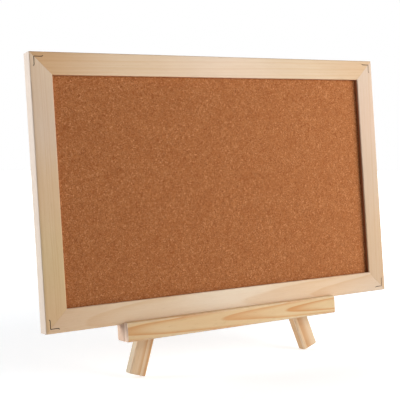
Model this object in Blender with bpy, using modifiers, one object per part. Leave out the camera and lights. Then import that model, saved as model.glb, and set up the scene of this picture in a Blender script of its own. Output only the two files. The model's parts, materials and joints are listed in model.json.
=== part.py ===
"""Desktop cork bulletin board that leans on a small folding wooden easel.

A mitred pine frame holds a cork sheet and its backing. The framed board stands on the ledge of an
A-shaped easel, whose rear leg swings on a small brass butt hinge. All sizes are in metres, +Z is up
and the board faces -Y. The origin is on the table, under the middle of the whole object.
"""
import math

import bmesh
import bpy
from mathutils import Matrix, Vector

# Fits
GAP = 0.0003            # clearance between two pieces that touch in the real object
PIN_CLEARANCE = 0.00008  # radial clearance of the hinge pin in its knuckles

# Board
BOARD_WIDTH = 0.310
BOARD_HEIGHT = 0.2006
LEAN = math.radians(7.3)        # the board and the easel's front lean back by this much
FRAME_FACE = 0.0166             # width of the frame's wood seen from the front
FRAME_ROUND = 0.0009            # radius of the frame's long edges
CORK_RECESS = 0.0034            # wood that stands in front of the cork
RABBET_WIDTH = 0.005            # step in the back of the frame that takes cork and backing
CORK_THICKNESS = 0.003
BACKING_THICKNESS = 0.003
BACK_MARGIN = 0.0016            # frame wood behind the backing points

# V-nails across the front of the mitres
NAIL_INSET = 0.0035             # from the frame's outer edges to the nail's bend
NAIL_LEG = 0.0068
NAIL_HOOK = 0.0009              # end of each nail leg, turned towards the outer edge
NAIL_THICKNESS = 0.0005
NAIL_DEPTH = 0.0055

# Points that hold the backing in the rabbet
POINT_LENGTH = 0.009
POINT_WIDTH = 0.006
POINT_THICKNESS = 0.0005
POINT_BITE = 0.005              # how far a point is driven into the frame
POINTS_LONG_SIDE = 3
POINTS_SHORT_SIDE = 2

# Ledge
LEDGE_LENGTH = 0.1904
LEDGE_HEIGHT = 0.0126           # height of the strip under the board
LIP_THICKNESS = 0.0052
LIP_RISE = 0.0017               # how far the front strip rises above the board's lower edge
STRIP_ROUND = 0.0016

# Front legs
LEG_WIDTH = 0.014
LEG_DEPTH = 0.0085
LEG_ROUND = 0.0015
LEG_SPLAY = math.radians(18.8)
APEX_DROP = 0.0046              # from the board's upper edge down to where the legs' centre lines meet
LEG_TOP_DROP = 0.0015           # from there down to the level cut across the tops of the legs
FOOT_DROP = 0.0438              # from the board's lower edge down to the inner corner of a foot

# Head block, level with the legs at its top
HEAD_HEIGHT = 0.042
HEAD_THICKNESS = 0.009
HEAD_BOTTOM_WIDTH = 0.050
HEAD_TOP_WIDTH = 0.026
HEAD_ROUND = 0.0008
HEAD_SCREW_RISE = 0.0065        # above the block's lower edge

# Hinge
HINGE_DROP = 0.018              # pin below the top of the head block
HINGE_WIDTH = 0.0126
HINGE_LEAF = 0.0115             # height of a leaf below the pin
LEAF_THICKNESS = 0.0008
LEAF_INSET = 0.00005            # outer face of a leaf inside the knuckles' outer line
KNUCKLE_RADIUS = 0.0017
PIN_RADIUS = 0.0008
KNUCKLE_GAP = 0.0002

# Rear leg
REAR_WIDTH = 0.0136
REAR_OPEN = math.radians(29.0)  # from flat against the head block to the stop
REAR_ABOVE_PIN = 0.016

# Screws: shank radius, head radius, head height, length under the head
LEDGE_SCREW = (0.0014, 0.0030, 0.0017, 0.0175)
HEAD_SCREW = (0.0014, 0.0030, 0.0017, 0.0145)
HINGE_SCREW = (0.0007, 0.0014, 0.0004, 0.0062)
HINGE_SCREW_SPACING = 0.0068
HINGE_SCREW_SHARE = 0.62        # how far down a leaf its screws sit
PIN_PROUD = 0.0005              # pin beyond each side of the knuckles

# Facets
ROUND_STEPS = 4                 # sides of a rounded edge
SCREW_SIDES = 20
BARREL_SIDES = 24

# Planes in the board's own depth direction, 0 at the frame's front face
CORK_FRONT = CORK_RECESS + GAP
BACKING_FRONT = CORK_FRONT + CORK_THICKNESS + GAP
POINT_FRONT = BACKING_FRONT + BACKING_THICKNESS + GAP
BOARD_THICKNESS = POINT_FRONT + POINT_THICKNESS + BACK_MARGIN
LEG_FRONT = BOARD_THICKNESS + GAP
LEG_BACK = LEG_FRONT + LEG_DEPTH
HEAD_FRONT = LEG_BACK + GAP
HEAD_BACK = HEAD_FRONT + HEAD_THICKNESS
PIN_DEPTH = HEAD_BACK + GAP + KNUCKLE_RADIUS
REAR_FACE = KNUCKLE_RADIUS + GAP    # from the pin to the rear leg's front face

# Levels above the board's lower edge
SHELF_TOP = -GAP
LEDGE_BOTTOM = SHELF_TOP - LEDGE_HEIGHT
APEX_HEIGHT = BOARD_HEIGHT - APEX_DROP
LEG_TOP = APEX_HEIGHT - LEG_TOP_DROP
HEAD_BOTTOM = LEG_TOP - HEAD_HEIGHT
HEAD_SCREW_HEIGHT = HEAD_BOTTOM + HEAD_SCREW_RISE
HINGE_HEIGHT = LEG_TOP - HINGE_DROP

REAR_TILT = REAR_OPEN - LEAN        # the open rear leg's angle to the vertical

MATERIALS = {
    "pine": ((0.72, 0.50, 0.30), 0.55, 0.0),
    "cork": ((0.42, 0.20, 0.09), 0.90, 0.0),
    "hardboard": ((0.28, 0.17, 0.10), 0.75, 0.0),
    "steel": ((0.45, 0.44, 0.43), 0.35, 1.0),
    "brass": ((0.70, 0.52, 0.24), 0.30, 1.0),
}


# ---------------------------------------------------------------- scene helpers

def clear_scene():
    """Remove what the file starts with."""
    for item in list(bpy.data.objects):
        bpy.data.objects.remove(item, do_unlink=True)


def make_collection(name):
    collection = bpy.data.collections.new(name)
    bpy.context.scene.collection.children.link(collection)
    return collection


def make_material(name):
    colour, roughness, metallic = MATERIALS[name.split(".")[0]]
    material = bpy.data.materials.new(name)
    material.use_nodes = True
    shader = material.node_tree.nodes["Principled BSDF"]
    shader.inputs["Base Color"].default_value = (*colour, 1.0)
    shader.inputs["Roughness"].default_value = roughness
    shader.inputs["Metallic"].default_value = metallic
    return material


def make_empty(name, location, rotation, parent=None):
    empty = bpy.data.objects.new(name, None)
    empty.empty_display_size = 0.02
    empty.location = location
    empty.rotation_euler = rotation
    empty.parent = parent
    PARTS.objects.link(empty)
    return empty


def finish_mesh(name, builder):
    """A mesh from a bmesh, with its faces pointing outwards."""
    bmesh.ops.recalc_face_normals(builder, faces=builder.faces)
    mesh = bpy.data.meshes.new(name)
    builder.to_mesh(mesh)
    builder.free()
    return mesh


def make_part(name, builder, finish, parent):
    """Turn a bmesh into a named part with its own material, placed by its parent empty."""
    part = bpy.data.objects.new(name, finish_mesh(name, builder))
    part.data.materials.append(make_material(f"{finish}.{name}"))
    part.parent = parent
    PARTS.objects.link(part)
    return part


def make_cutter(name, builder, parent):
    """A hidden solid that is cut out of parts or joined to them."""
    cutter = bpy.data.objects.new(name, finish_mesh(name, builder))
    cutter.parent = parent
    cutter.hide_render = True
    cutter.display_type = "WIRE"
    CUTTERS.objects.link(cutter)
    return cutter


def combine(part, tool, operation):
    modifier = part.modifiers.new(tool.name, "BOOLEAN")
    modifier.operation = operation
    modifier.solver = "EXACT"
    modifier.object = tool


def cut(part, cutter):
    combine(part, cutter, "DIFFERENCE")


def join(part, addition):
    combine(part, addition, "UNION")


# ---------------------------------------------------------------- shape helpers

def box(low, high, builder=None):
    """An axis-aligned box between two corners, added to a bmesh or to a new one."""
    builder = builder or bmesh.new()
    size = Vector(high) - Vector(low)
    centre = (Vector(high) + Vector(low)) / 2
    matrix = Matrix.Translation(centre) @ Matrix.Diagonal((*size, 1.0))
    bmesh.ops.create_cube(builder, size=1.0, matrix=matrix)
    return builder


def round_edges(builder, direction, radius):
    """Round the edges that run along one direction."""
    axis = Vector(direction)
    edges = []
    for edge in builder.edges:
        run = (edge.verts[1].co - edge.verts[0].co).normalized()
        if abs(run.dot(axis)) > 0.999:
            edges.append(edge)
    bmesh.ops.bevel(builder, geom=edges, offset=radius, offset_type="OFFSET", segments=ROUND_STEPS,
                    profile=0.5, affect="EDGES")


def slice_off(builder, point, normal):
    """Cut away what lies on the normal's side of a plane and close the cut."""
    geometry = list(builder.verts) + list(builder.edges) + list(builder.faces)
    result = bmesh.ops.bisect_plane(builder, geom=geometry, dist=1e-7, plane_co=point, plane_no=normal,
                                    clear_outer=True)
    edges = [item for item in result["geom_cut"] if isinstance(item, bmesh.types.BMEdge)]
    bmesh.ops.contextual_create(builder, geom=edges)


def rod(start, radius, length, direction, sides):
    """A cylinder from its first end's centre along a direction."""
    builder = bmesh.new()
    axis = Vector(direction).normalized()
    middle = Vector(start) + axis * length / 2
    matrix = Matrix.Translation(middle) @ axis.to_track_quat("Z", "Y").to_matrix().to_4x4()
    bmesh.ops.create_cone(builder, cap_ends=True, segments=sides, radius1=radius, radius2=radius,
                          depth=length, matrix=matrix)
    return builder


def rounded_reach(half_width, half_depth, radius, slope_width, slope_depth):
    """How far a rounded rectangle reaches along a direction given by its two slopes."""
    flat = (half_width - radius) * abs(slope_width) + (half_depth - radius) * abs(slope_depth)
    return flat + radius * math.hypot(slope_width, slope_depth)


# ---------------------------------------------------------------- where the object stands

def leg_length():
    """Length of a front leg's centre line from the apex to the end of its foot."""
    drop = APEX_HEIGHT + FOOT_DROP - LEG_WIDTH / 2 * math.sin(LEG_SPLAY)
    return drop / math.cos(LEG_SPLAY)


def ground_height():
    """Height of the board's lower front edge above the table."""
    foot_height = APEX_HEIGHT - leg_length() * math.cos(LEG_SPLAY)
    foot_depth = LEG_FRONT + LEG_DEPTH / 2
    reach = rounded_reach(LEG_WIDTH / 2, LEG_DEPTH / 2, LEG_ROUND,
                          math.sin(LEG_SPLAY) * math.cos(LEAN), math.sin(LEAN))
    return reach + foot_depth * math.sin(LEAN) - foot_height * math.cos(LEAN)


def pin_above_ground():
    return ground_height() + HINGE_HEIGHT * math.cos(LEAN) - PIN_DEPTH * math.sin(LEAN)


def rear_leg_below_pin():
    """Length of the rear leg from the pin to its foot, so that the open leg meets the table."""
    return (pin_above_ground() + REAR_FACE * math.sin(REAR_TILT)) / math.cos(REAR_TILT)


def board_setback():
    """Y of the board's lower front edge that puts the origin under the middle of the object."""
    lip_height = (LEDGE_BOTTOM + LIP_RISE) / 2
    lip_depth = -GAP - LIP_THICKNESS / 2
    reach = rounded_reach((LIP_RISE - LEDGE_BOTTOM) / 2, LIP_THICKNESS / 2, STRIP_ROUND,
                          math.sin(LEAN), math.cos(LEAN))
    front = lip_height * math.sin(LEAN) + lip_depth * math.cos(LEAN) - reach
    pin = HINGE_HEIGHT * math.sin(LEAN) + PIN_DEPTH * math.cos(LEAN)
    foot = rear_leg_below_pin() * math.sin(REAR_TILT)
    thickness = (REAR_FACE + LEG_DEPTH) * math.cos(REAR_TILT)
    back = pin + foot + thickness
    return -(front + back) / 2


# ---------------------------------------------------------------- board

def rounded_corner(corner, before, after, radius):
    """Points that round one corner of an outline, or the corner itself when the radius is zero."""
    if radius == 0.0:
        return [corner]
    back = (before - corner).normalized() * radius
    ahead = (after - corner).normalized() * radius
    centre = corner + back + ahead
    points = []
    for step in range(ROUND_STEPS + 1):
        turn = step / ROUND_STEPS * math.pi / 2
        points.append(centre - ahead * math.cos(turn) - back * math.sin(turn))
    return points


def frame_section():
    """Outline of the frame's wood as (distance from the outer edge, depth)."""
    rabbet = FRAME_FACE - RABBET_WIDTH
    corners = [((0.0, 0.0), FRAME_ROUND), ((FRAME_FACE, 0.0), FRAME_ROUND), ((FRAME_FACE, CORK_RECESS), 0.0),
               ((rabbet, CORK_RECESS), 0.0), ((rabbet, BOARD_THICKNESS), 0.0),
               ((0.0, BOARD_THICKNESS), FRAME_ROUND)]
    outline = []
    for index, (corner, radius) in enumerate(corners):
        before = Vector(corners[index - 1][0])
        after = Vector(corners[(index + 1) % len(corners)][0])
        outline += rounded_corner(Vector(corner), before, after, radius)
    return outline


def frame_member(side, parent):
    """One side of the frame: its section run along the side and cut at 45 degrees at both ends."""
    length = BOARD_WIDTH if side in ("top", "bottom") else BOARD_HEIGHT
    outer = BOARD_HEIGHT / 2 if side in ("top", "bottom") else BOARD_WIDTH / 2
    section = frame_section()
    builder = bmesh.new()
    rings = []
    for end in (-1, 1):
        ring = []
        for across, depth in section:
            along = end * (length / 2 - across - GAP / math.sqrt(2))
            ring.append(builder.verts.new((along, depth, across - outer)))
        rings.append(ring)
    for index in range(len(section)):
        builder.faces.new((rings[0][index - 1], rings[0][index], rings[1][index], rings[1][index - 1]))
    for ring in rings:
        builder.faces.new(ring)
    turn = {"bottom": 0.0, "left": 90.0, "top": 180.0, "right": 270.0}[side]
    place = Matrix.Translation((0.0, 0.0, BOARD_HEIGHT / 2)) @ Matrix.Rotation(math.radians(turn), 4, "Y")
    bmesh.ops.transform(builder, matrix=place, verts=builder.verts)
    kind = "rail" if side in ("top", "bottom") else "stile"
    return make_part(f"frame_{kind}_{side}", builder, "pine", parent)


def add_sheet(name, front, thickness, finish, parent):
    """A flat panel that lies in the frame's rabbet."""
    inset = FRAME_FACE - RABBET_WIDTH + GAP
    low = (-BOARD_WIDTH / 2 + inset, front, inset)
    high = (BOARD_WIDTH / 2 - inset, front + thickness, BOARD_HEIGHT - inset)
    make_part(name, box(low, high), finish, parent)


def nail_strip(horizontal, vertical, extra, front, back):
    """Open bent strip across one mitre; horizontal and vertical, -1 or 1, choose the corner."""
    knee = NAIL_INSET + NAIL_LEG - NAIL_HOOK
    tip = NAIL_INSET + NAIL_LEG + extra
    hook = NAIL_INSET - NAIL_HOOK - extra
    path = [(tip, hook), (knee, NAIL_INSET), (NAIL_INSET, NAIL_INSET), (NAIL_INSET, knee), (hook, tip)]
    builder = bmesh.new()
    rows = []
    for depth in (front, back):
        row = []
        for inward_x, inward_z in path:
            x = horizontal * (BOARD_WIDTH / 2 - inward_x)
            z = BOARD_HEIGHT / 2 + vertical * (BOARD_HEIGHT / 2 - inward_z)
            row.append(builder.verts.new((x, depth, z)))
        rows.append(row)
    for index in range(1, len(path)):
        builder.faces.new((rows[0][index - 1], rows[0][index], rows[1][index], rows[1][index - 1]))
    return builder


def thicken(target, thickness):
    """Give an open strip its thickness, half on each side."""
    modifier = target.modifiers.new("thickness", "SOLIDIFY")
    modifier.thickness = thickness
    modifier.offset = 0.0
    modifier.use_even_offset = True


def add_nails(members, parent):
    """Four V-nails flush with the front, each in a slot across the two members that it joins."""
    for upright, horizontal in (("left", -1), ("right", 1)):
        for level, vertical in (("top", 1), ("bottom", -1)):
            label = f"{level}_{upright}"
            nail = make_part(f"v_nail_{label}", nail_strip(horizontal, vertical, 0.0, 0.0, NAIL_DEPTH),
                             "steel", parent)
            thicken(nail, NAIL_THICKNESS)
            slot = nail_strip(horizontal, vertical, GAP, -GAP, NAIL_DEPTH + GAP)
            cutter = make_cutter(f"nail_slot_{label}", slot, parent)
            thicken(cutter, NAIL_THICKNESS + 2 * GAP)
            cut(members[upright], cutter)
            cut(members[level], cutter)


def point_places():
    """Centre and inward direction of every backing point, at the rabbet's wall."""
    wall = FRAME_FACE - RABBET_WIDTH
    middle = BOARD_HEIGHT / 2
    places = []
    for side in (-1, 1):
        for number in range(POINTS_LONG_SIDE):
            x = (number - (POINTS_LONG_SIDE - 1) / 2) * BOARD_WIDTH / POINTS_LONG_SIDE
            places.append((Vector((x, 0.0, middle + side * (middle - wall))), Vector((0.0, 0.0, -side))))
        for number in range(POINTS_SHORT_SIDE):
            z = middle + (number - (POINTS_SHORT_SIDE - 1) / 2) * BOARD_HEIGHT / POINTS_SHORT_SIDE
            places.append((Vector((side * (BOARD_WIDTH / 2 - wall), 0.0, z)), Vector((-side, 0.0, 0.0))))
    return places


def point_tab(wall, inward, margin, builder=None):
    """A backing point as a flat tab, grown by a margin where it is the cutter for its slot."""
    across = Vector((abs(inward.z), 0.0, abs(inward.x))) * (POINT_WIDTH / 2 + margin)
    outer_end = wall - inward * (POINT_BITE + margin)
    inner_end = wall + inward * (POINT_LENGTH - POINT_BITE + margin)
    corners = [outer_end - across, outer_end + across, inner_end - across, inner_end + across]
    low = (min(corner.x for corner in corners), POINT_FRONT - margin, min(corner.z for corner in corners))
    high = (max(corner.x for corner in corners), POINT_FRONT + POINT_THICKNESS + margin,
            max(corner.z for corner in corners))
    return box(low, high, builder)


def add_points(members, parent):
    """The flat steel points that hold the backing, each driven into the rabbet's wall."""
    slots = bmesh.new()
    for number, (wall, inward) in enumerate(point_places(), start=1):
        make_part(f"backing_point_{number:02d}", point_tab(wall, inward, 0.0), "steel", parent)
        point_tab(wall, inward, GAP, slots)
    cutter = make_cutter("point_slots", slots, parent)
    for member in members.values():
        cut(member, cutter)


def add_board(parent):
    """The framed cork board."""
    members = {side: frame_member(side, parent) for side in ("top", "bottom", "left", "right")}
    add_sheet("cork_sheet", CORK_FRONT, CORK_THICKNESS, "cork", parent)
    add_sheet("backing_panel", BACKING_FRONT, BACKING_THICKNESS, "hardboard", parent)
    add_nails(members, parent)
    add_points(members, parent)


# ---------------------------------------------------------------- screws

def add_screw(name, sizes, location, facing, parent, finish="steel"):
    """A turned screw whose head looks along facing, +1 for back and -1 for front."""
    shank, head, height, length = sizes
    profile = [(0.0, height), (head * 0.55, height), (head, height * 0.45), (head, 0.0), (shank, 0.0),
               (shank, -length * 0.8), (0.0, -length)]
    builder = bmesh.new()
    points = [builder.verts.new((radius, 0.0, level)) for radius, level in profile]
    for first, second in zip(points, points[1:]):
        builder.edges.new((first, second))
    screw = make_part(name, builder, finish, parent)
    turn = screw.modifiers.new("turn", "SCREW")
    turn.steps = SCREW_SIDES
    turn.render_steps = SCREW_SIDES
    turn.use_merge_vertices = True
    turn.merge_threshold = 0.00001
    screw.location = location
    screw.rotation_euler = (math.radians(-90.0 * facing), 0.0, 0.0)


def add_screw_hole(name, sizes, location, facing, parent):
    """Cutter for a screw's shank, open at the head's side."""
    shank, _, _, length = sizes
    start = Vector(location) + Vector((0.0, facing * GAP, 0.0))
    hole = rod(start, shank + GAP, length + 2 * GAP, (0.0, -facing, 0.0), SCREW_SIDES)
    return make_cutter(name, hole, parent)


# ---------------------------------------------------------------- easel

def add_strip(name, front, back, bottom, top, parent):
    """One of the two long strips that make the ledge."""
    strip = box((-LEDGE_LENGTH / 2, front, bottom), (LEDGE_LENGTH / 2, back, top))
    round_edges(strip, (1.0, 0.0, 0.0), STRIP_ROUND)
    return make_part(name, strip, "pine", parent)


def add_front_leg(name, side, parent):
    """A front leg, square-cut at the foot, mitred to its twin and cut level at the top."""
    leg = box((-LEG_WIDTH / 2, LEG_FRONT, -leg_length()), (LEG_WIDTH / 2, LEG_BACK, 0.0))
    round_edges(leg, (0.0, 0.0, 1.0), LEG_ROUND)
    place = Matrix.Translation((0.0, 0.0, APEX_HEIGHT)) @ Matrix.Rotation(-side * LEG_SPLAY, 4, "Y")
    bmesh.ops.transform(leg, matrix=place, verts=leg.verts)
    slice_off(leg, (side * GAP / 2, 0.0, 0.0), (-side, 0.0, 0.0))
    slice_off(leg, (0.0, 0.0, LEG_TOP), (0.0, 0.0, 1.0))
    return make_part(name, leg, "pine", parent)


def add_head_block(parent):
    """The block behind the tops of the front legs, narrower at its top."""
    half = HEAD_BOTTOM_WIDTH / 2
    block = box((-half, HEAD_FRONT, HEAD_BOTTOM), (half, HEAD_BACK, LEG_TOP))
    for corner in block.verts:
        if corner.co.z > (HEAD_BOTTOM + LEG_TOP) / 2:
            corner.co.x = math.copysign(HEAD_TOP_WIDTH / 2, corner.co.x)
    slope = Vector(((HEAD_BOTTOM_WIDTH - HEAD_TOP_WIDTH) / 2, 0.0, HEAD_BOTTOM - LEG_TOP)).normalized()
    for direction in (slope, Vector((-slope.x, 0.0, slope.z))):
        round_edges(block, direction, HEAD_ROUND)
    return make_part("head_block", block, "pine", parent)


def add_easel(parent):
    """The front of the easel: two legs, the ledge, the head block and the screws that join them."""
    add_strip("ledge_lip", -GAP - LIP_THICKNESS, -GAP, LEDGE_BOTTOM, LIP_RISE, parent)
    shelf = add_strip("ledge_shelf", 0.0, BOARD_THICKNESS, LEDGE_BOTTOM, SHELF_TOP, parent)
    block = add_head_block(parent)
    for label, side in (("left", -1), ("right", 1)):
        leg = add_front_leg(f"front_leg_{label}", side, parent)
        for joint, sizes, height, back, held in (("ledge", LEDGE_SCREW, LEDGE_BOTTOM / 2, LEG_BACK, shelf),
                                                 ("head", HEAD_SCREW, HEAD_SCREW_HEIGHT, HEAD_BACK, block)):
            across = side * (APEX_HEIGHT - height) * math.tan(LEG_SPLAY)
            seat = (across, back + GAP, height)
            add_screw(f"{joint}_screw_{label}", sizes, seat, 1, parent)
            hole = add_screw_hole(f"{joint}_hole_{label}", sizes, seat, 1, parent)
            cut(leg, hole)
            cut(held, hole)
    return block


# ---------------------------------------------------------------- hinge and rear leg

def knuckle_span(number):
    """Ends of one of the three knuckles along the pin."""
    pitch = HINGE_WIDTH / 3
    start = -HINGE_WIDTH / 2 + number * pitch
    return start + KNUCKLE_GAP / 2, start + pitch - KNUCKLE_GAP / 2


def add_leaf(name, side, knuckles, wood, parent):
    """A hinge leaf below the pin, on the wood at one side of it: -1 for front and +1 for back."""
    outside = KNUCKLE_RADIUS - LEAF_INSET
    faces = sorted((side * outside, side * (outside - LEAF_THICKNESS)))
    plate = box((-HINGE_WIDTH / 2, faces[0], -HINGE_LEAF), (HINGE_WIDTH / 2, faces[1], 0.0))
    leaf = make_part(name, plate, "brass", parent)
    limit = (HINGE_WIDTH - KNUCKLE_GAP) / 2
    room = KNUCKLE_RADIUS + GAP
    for number in knuckles:
        start, end = knuckle_span(number)
        start = max(start - KNUCKLE_GAP, -limit)
        end = min(end + KNUCKLE_GAP, limit)
        barrel = rod((start, 0.0, 0.0), KNUCKLE_RADIUS, end - start, (1.0, 0.0, 0.0), BARREL_SIDES)
        join(leaf, make_cutter(f"{name}_barrel_{number}", barrel, parent))
    for number in sorted({0, 1, 2} - set(knuckles)):
        start, end = knuckle_span(number)
        notch = box((start - KNUCKLE_GAP, -room, -room), (end + KNUCKLE_GAP, room, room))
        cut(leaf, make_cutter(f"{name}_notch_{number}", notch, parent))
    bore = rod((-HINGE_WIDTH, 0.0, 0.0), PIN_RADIUS + PIN_CLEARANCE, 2 * HINGE_WIDTH, (1.0, 0.0, 0.0),
               BARREL_SIDES)
    cut(leaf, make_cutter(f"{name}_bore", bore, parent))
    for label, across in (("left", -1), ("right", 1)):
        seat = (across * HINGE_SCREW_SPACING / 2, side * (outside - LEAF_THICKNESS - GAP),
                -HINGE_LEAF * HINGE_SCREW_SHARE)
        add_screw(f"{name}_screw_{label}", HINGE_SCREW, seat, -side, parent, "brass")
        hole = add_screw_hole(f"{name}_hole_{label}", HINGE_SCREW, seat, -side, parent)
        cut(leaf, hole)
        cut(wood, hole)


def add_rear_leg(parent):
    """The rear leg in the pivot's axes, its top bevelled to bear on the head block when open."""
    leg = box((-REAR_WIDTH / 2, REAR_FACE, -rear_leg_below_pin()),
              (REAR_WIDTH / 2, REAR_FACE + LEG_DEPTH, REAR_ABOVE_PIN))
    round_edges(leg, (0.0, 0.0, 1.0), LEG_ROUND)
    bevel = Vector((0.0, -math.cos(REAR_OPEN), math.sin(REAR_OPEN)))
    slice_off(leg, bevel * KNUCKLE_RADIUS, bevel)
    return make_part("rear_leg", leg, "pine", parent)


# ---------------------------------------------------------------- assembly

def main():
    lean = (-LEAN, 0.0, 0.0)
    place = (0.0, board_setback(), ground_height())
    easel_axes = make_empty("easel_axes", place, lean)
    board_axes = make_empty("board_axes", place, lean)
    pin_place = (0.0, PIN_DEPTH, HINGE_HEIGHT)
    fixed_axes = make_empty("hinge_fixed_axes", pin_place, (0.0, 0.0, 0.0), easel_axes)
    pivot = make_empty("rear_leg_pivot", pin_place, (REAR_OPEN, 0.0, 0.0), easel_axes)
    add_board(board_axes)
    block = add_easel(easel_axes)
    rear_leg = add_rear_leg(pivot)
    add_leaf("hinge_leaf_fixed", -1, (0, 2), block, fixed_axes)
    add_leaf("hinge_leaf_moving", 1, (1,), rear_leg, pivot)
    pin = rod((-HINGE_WIDTH / 2 - PIN_PROUD, 0.0, 0.0), PIN_RADIUS, HINGE_WIDTH + 2 * PIN_PROUD,
              (1.0, 0.0, 0.0), BARREL_SIDES)
    make_part("hinge_pin", pin, "brass", fixed_axes)


clear_scene()
PARTS = make_collection("cork_bulletin_board")
CUTTERS = make_collection("cutters")
main()
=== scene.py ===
"""Desktop cork board on a folding pine easel: the finished pieces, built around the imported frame.

The board leans back on the easel, so its pieces are drawn in axes that lean with it: X across the
board, Y into its depth and Z up its face, from the middle of its lower front edge. The rear leg's
pieces are drawn in axes that turn with it about the hinge pin. All sizes are in metres.
"""
import json
import logging
import math
from dataclasses import dataclass
from enum import Enum
from functools import cache
from typing import Callable, Sequence

import bmesh
import bpy
from mathutils import Matrix, Vector


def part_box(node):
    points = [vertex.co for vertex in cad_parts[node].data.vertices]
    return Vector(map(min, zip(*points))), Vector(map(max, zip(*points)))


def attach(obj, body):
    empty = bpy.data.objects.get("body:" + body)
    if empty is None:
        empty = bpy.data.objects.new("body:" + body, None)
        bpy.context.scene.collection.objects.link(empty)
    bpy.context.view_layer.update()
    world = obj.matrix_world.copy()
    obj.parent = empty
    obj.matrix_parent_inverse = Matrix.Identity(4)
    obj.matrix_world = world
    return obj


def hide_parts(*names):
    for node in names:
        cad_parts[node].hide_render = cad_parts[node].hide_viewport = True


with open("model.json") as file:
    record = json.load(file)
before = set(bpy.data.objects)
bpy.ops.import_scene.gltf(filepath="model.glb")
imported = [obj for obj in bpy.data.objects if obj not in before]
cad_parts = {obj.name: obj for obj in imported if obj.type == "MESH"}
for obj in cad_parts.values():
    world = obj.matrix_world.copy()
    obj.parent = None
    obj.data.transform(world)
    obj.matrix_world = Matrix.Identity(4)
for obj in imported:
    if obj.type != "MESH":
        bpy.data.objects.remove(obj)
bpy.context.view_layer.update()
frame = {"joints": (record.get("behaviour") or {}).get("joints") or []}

LOG = logging.getLogger("cork_board")
Colour = tuple[float, float, float]
Point = tuple[float, float]
Triple = tuple[float, float, float]
Seat = tuple[Triple, Triple]
Builder = bmesh.types.BMesh
Material = bpy.types.Material
Node = bpy.types.Node
Piece = bpy.types.Object
Socket = bpy.types.NodeSocket
Tree = bpy.types.NodeTree

FIT = 0.0003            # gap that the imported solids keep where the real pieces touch
HAIRLINE = 0.00004      # half the joint line that shows between two glued pieces
SMOOTH_ANGLE = math.radians(35.0)
SHARP_ANGLE = math.radians(40.0)
SCREW_JITTER = 0.7      # how far a screw may turn from square by chance, in radians
ROUND_STEPS = 32        # sides of a turned part
STANDING = Matrix(((1, 0, 0, 0), (0, 0, 1, 0), (0, 1, 0, 0), (0, 0, 0, 1)))     # Y and Z changed over


class Side(Enum):
    """The four sides of the frame, with the turn that brings the lower side to each."""

    BOTTOM = 0.0
    LEFT = 90.0
    TOP = 180.0
    RIGHT = 270.0

    @property
    def level(self) -> bool:
        """Whether the side runs across the board."""
        return self in (Side.BOTTOM, Side.TOP)

    @property
    def node(self) -> str:
        """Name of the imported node."""
        return f"frame_{'rail' if self.level else 'stile'}_{self.name.lower()}"


class Hand(Enum):
    """Left or right of the middle plane."""

    LEFT = -1
    RIGHT = 1


# ------------------------------------------------------------------ axes

@dataclass(frozen=True)
class Axes:
    """Axes that a piece is drawn in."""

    matrix: Matrix

    def __matmul__(self, other: Matrix) -> "Axes":
        """These axes, moved and turned within themselves."""
        return Axes(self.matrix @ other)

    def along(self, start: Sequence[float], direction: Sequence[float], out: Sequence[float]) -> "Axes":
        """Axes for a piece's grain.

        Args:
            start: The grain's origin in these axes.
            direction: The way the grain runs.
            out: The way the piece's show face looks.

        Returns:
            Axes with X along the grain and Z out of the show face.
        """
        x = Vector(direction).normalized()
        z = (Vector(out) - x * Vector(out).dot(x)).normalized()
        turn = Matrix((x, z.cross(x), z)).transposed().to_4x4()
        return self @ (Matrix.Translation(Vector(start)) @ turn)


@dataclass(frozen=True)
class Layers:
    """The board's layers, as depths behind the frame's front face, and its wood's section."""

    face: float = 0.0166
    rabbet: float = 0.005
    recess: float = 0.0034
    cork: float = 0.003
    backing: float = 0.003
    point: float = 0.0005
    margin: float = 0.0016
    rounding: float = 0.0009

    @property
    def cork_front(self) -> float:
        """Depth of the cork's face."""
        return self.recess + FIT

    @property
    def backing_front(self) -> float:
        """Depth of the backing's front."""
        return self.cork_front + self.cork + FIT

    @property
    def backing_back(self) -> float:
        """Depth of the backing's back."""
        return self.backing_front + self.backing

    @property
    def thickness(self) -> float:
        """Depth of the frame's back."""
        return self.backing_back + FIT + self.point + self.margin

    @property
    def wall(self) -> float:
        """Distance from the frame's outer edge to the rabbet's wall."""
        return self.face - self.rabbet


LAYERS = Layers()


def joint(name: str) -> dict:
    """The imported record's entry for a joint."""
    return next(entry for entry in frame["joints"] if entry["name"] == name)


def leaning_axes() -> Axes:
    """Axes of the board and the easel's front.

    Returns:
        Axes whose origin is the middle of the board's lower front edge.
    """
    up = Vector(joint("board_lift")["axis"])
    lean = math.atan2(up.y, up.z)
    low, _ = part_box("cork_sheet")
    inset = LAYERS.wall + FIT
    back = LAYERS.cork_front + LAYERS.cork
    y = low.y - inset * math.sin(lean) - LAYERS.cork_front * math.cos(lean)
    z = low.z - inset * math.cos(lean) + back * math.sin(lean)
    return Axes(Matrix.Translation((0.0, y, z)) @ Matrix.Rotation(-lean, 4, "X"))


def hinge_axes(board: Axes) -> tuple[Axes, Axes]:
    """Axes at the hinge pin.

    Args:
        board: The leaning axes.

    Returns:
        The axes that stay with the easel, and those that turn with the open rear leg.
    """
    pin = Vector(joint("rear_leg_hinge")["pos_m"])
    fixed = Axes(Matrix.Translation(pin) @ board.matrix.to_3x3().to_4x4())
    opened = math.radians(joint("rear_leg_hinge")["range_deg"][1])
    return fixed, fixed @ Matrix.Rotation(opened, 4, "X")


BOARD = leaning_axes()
PIN, SWING = hinge_axes(BOARD)
BOARD_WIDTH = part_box("frame_rail_top")[1].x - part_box("frame_rail_top")[0].x + math.sqrt(2) * FIT
BOARD_HEIGHT = 0.2006


# ------------------------------------------------------------------ mesh work

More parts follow.
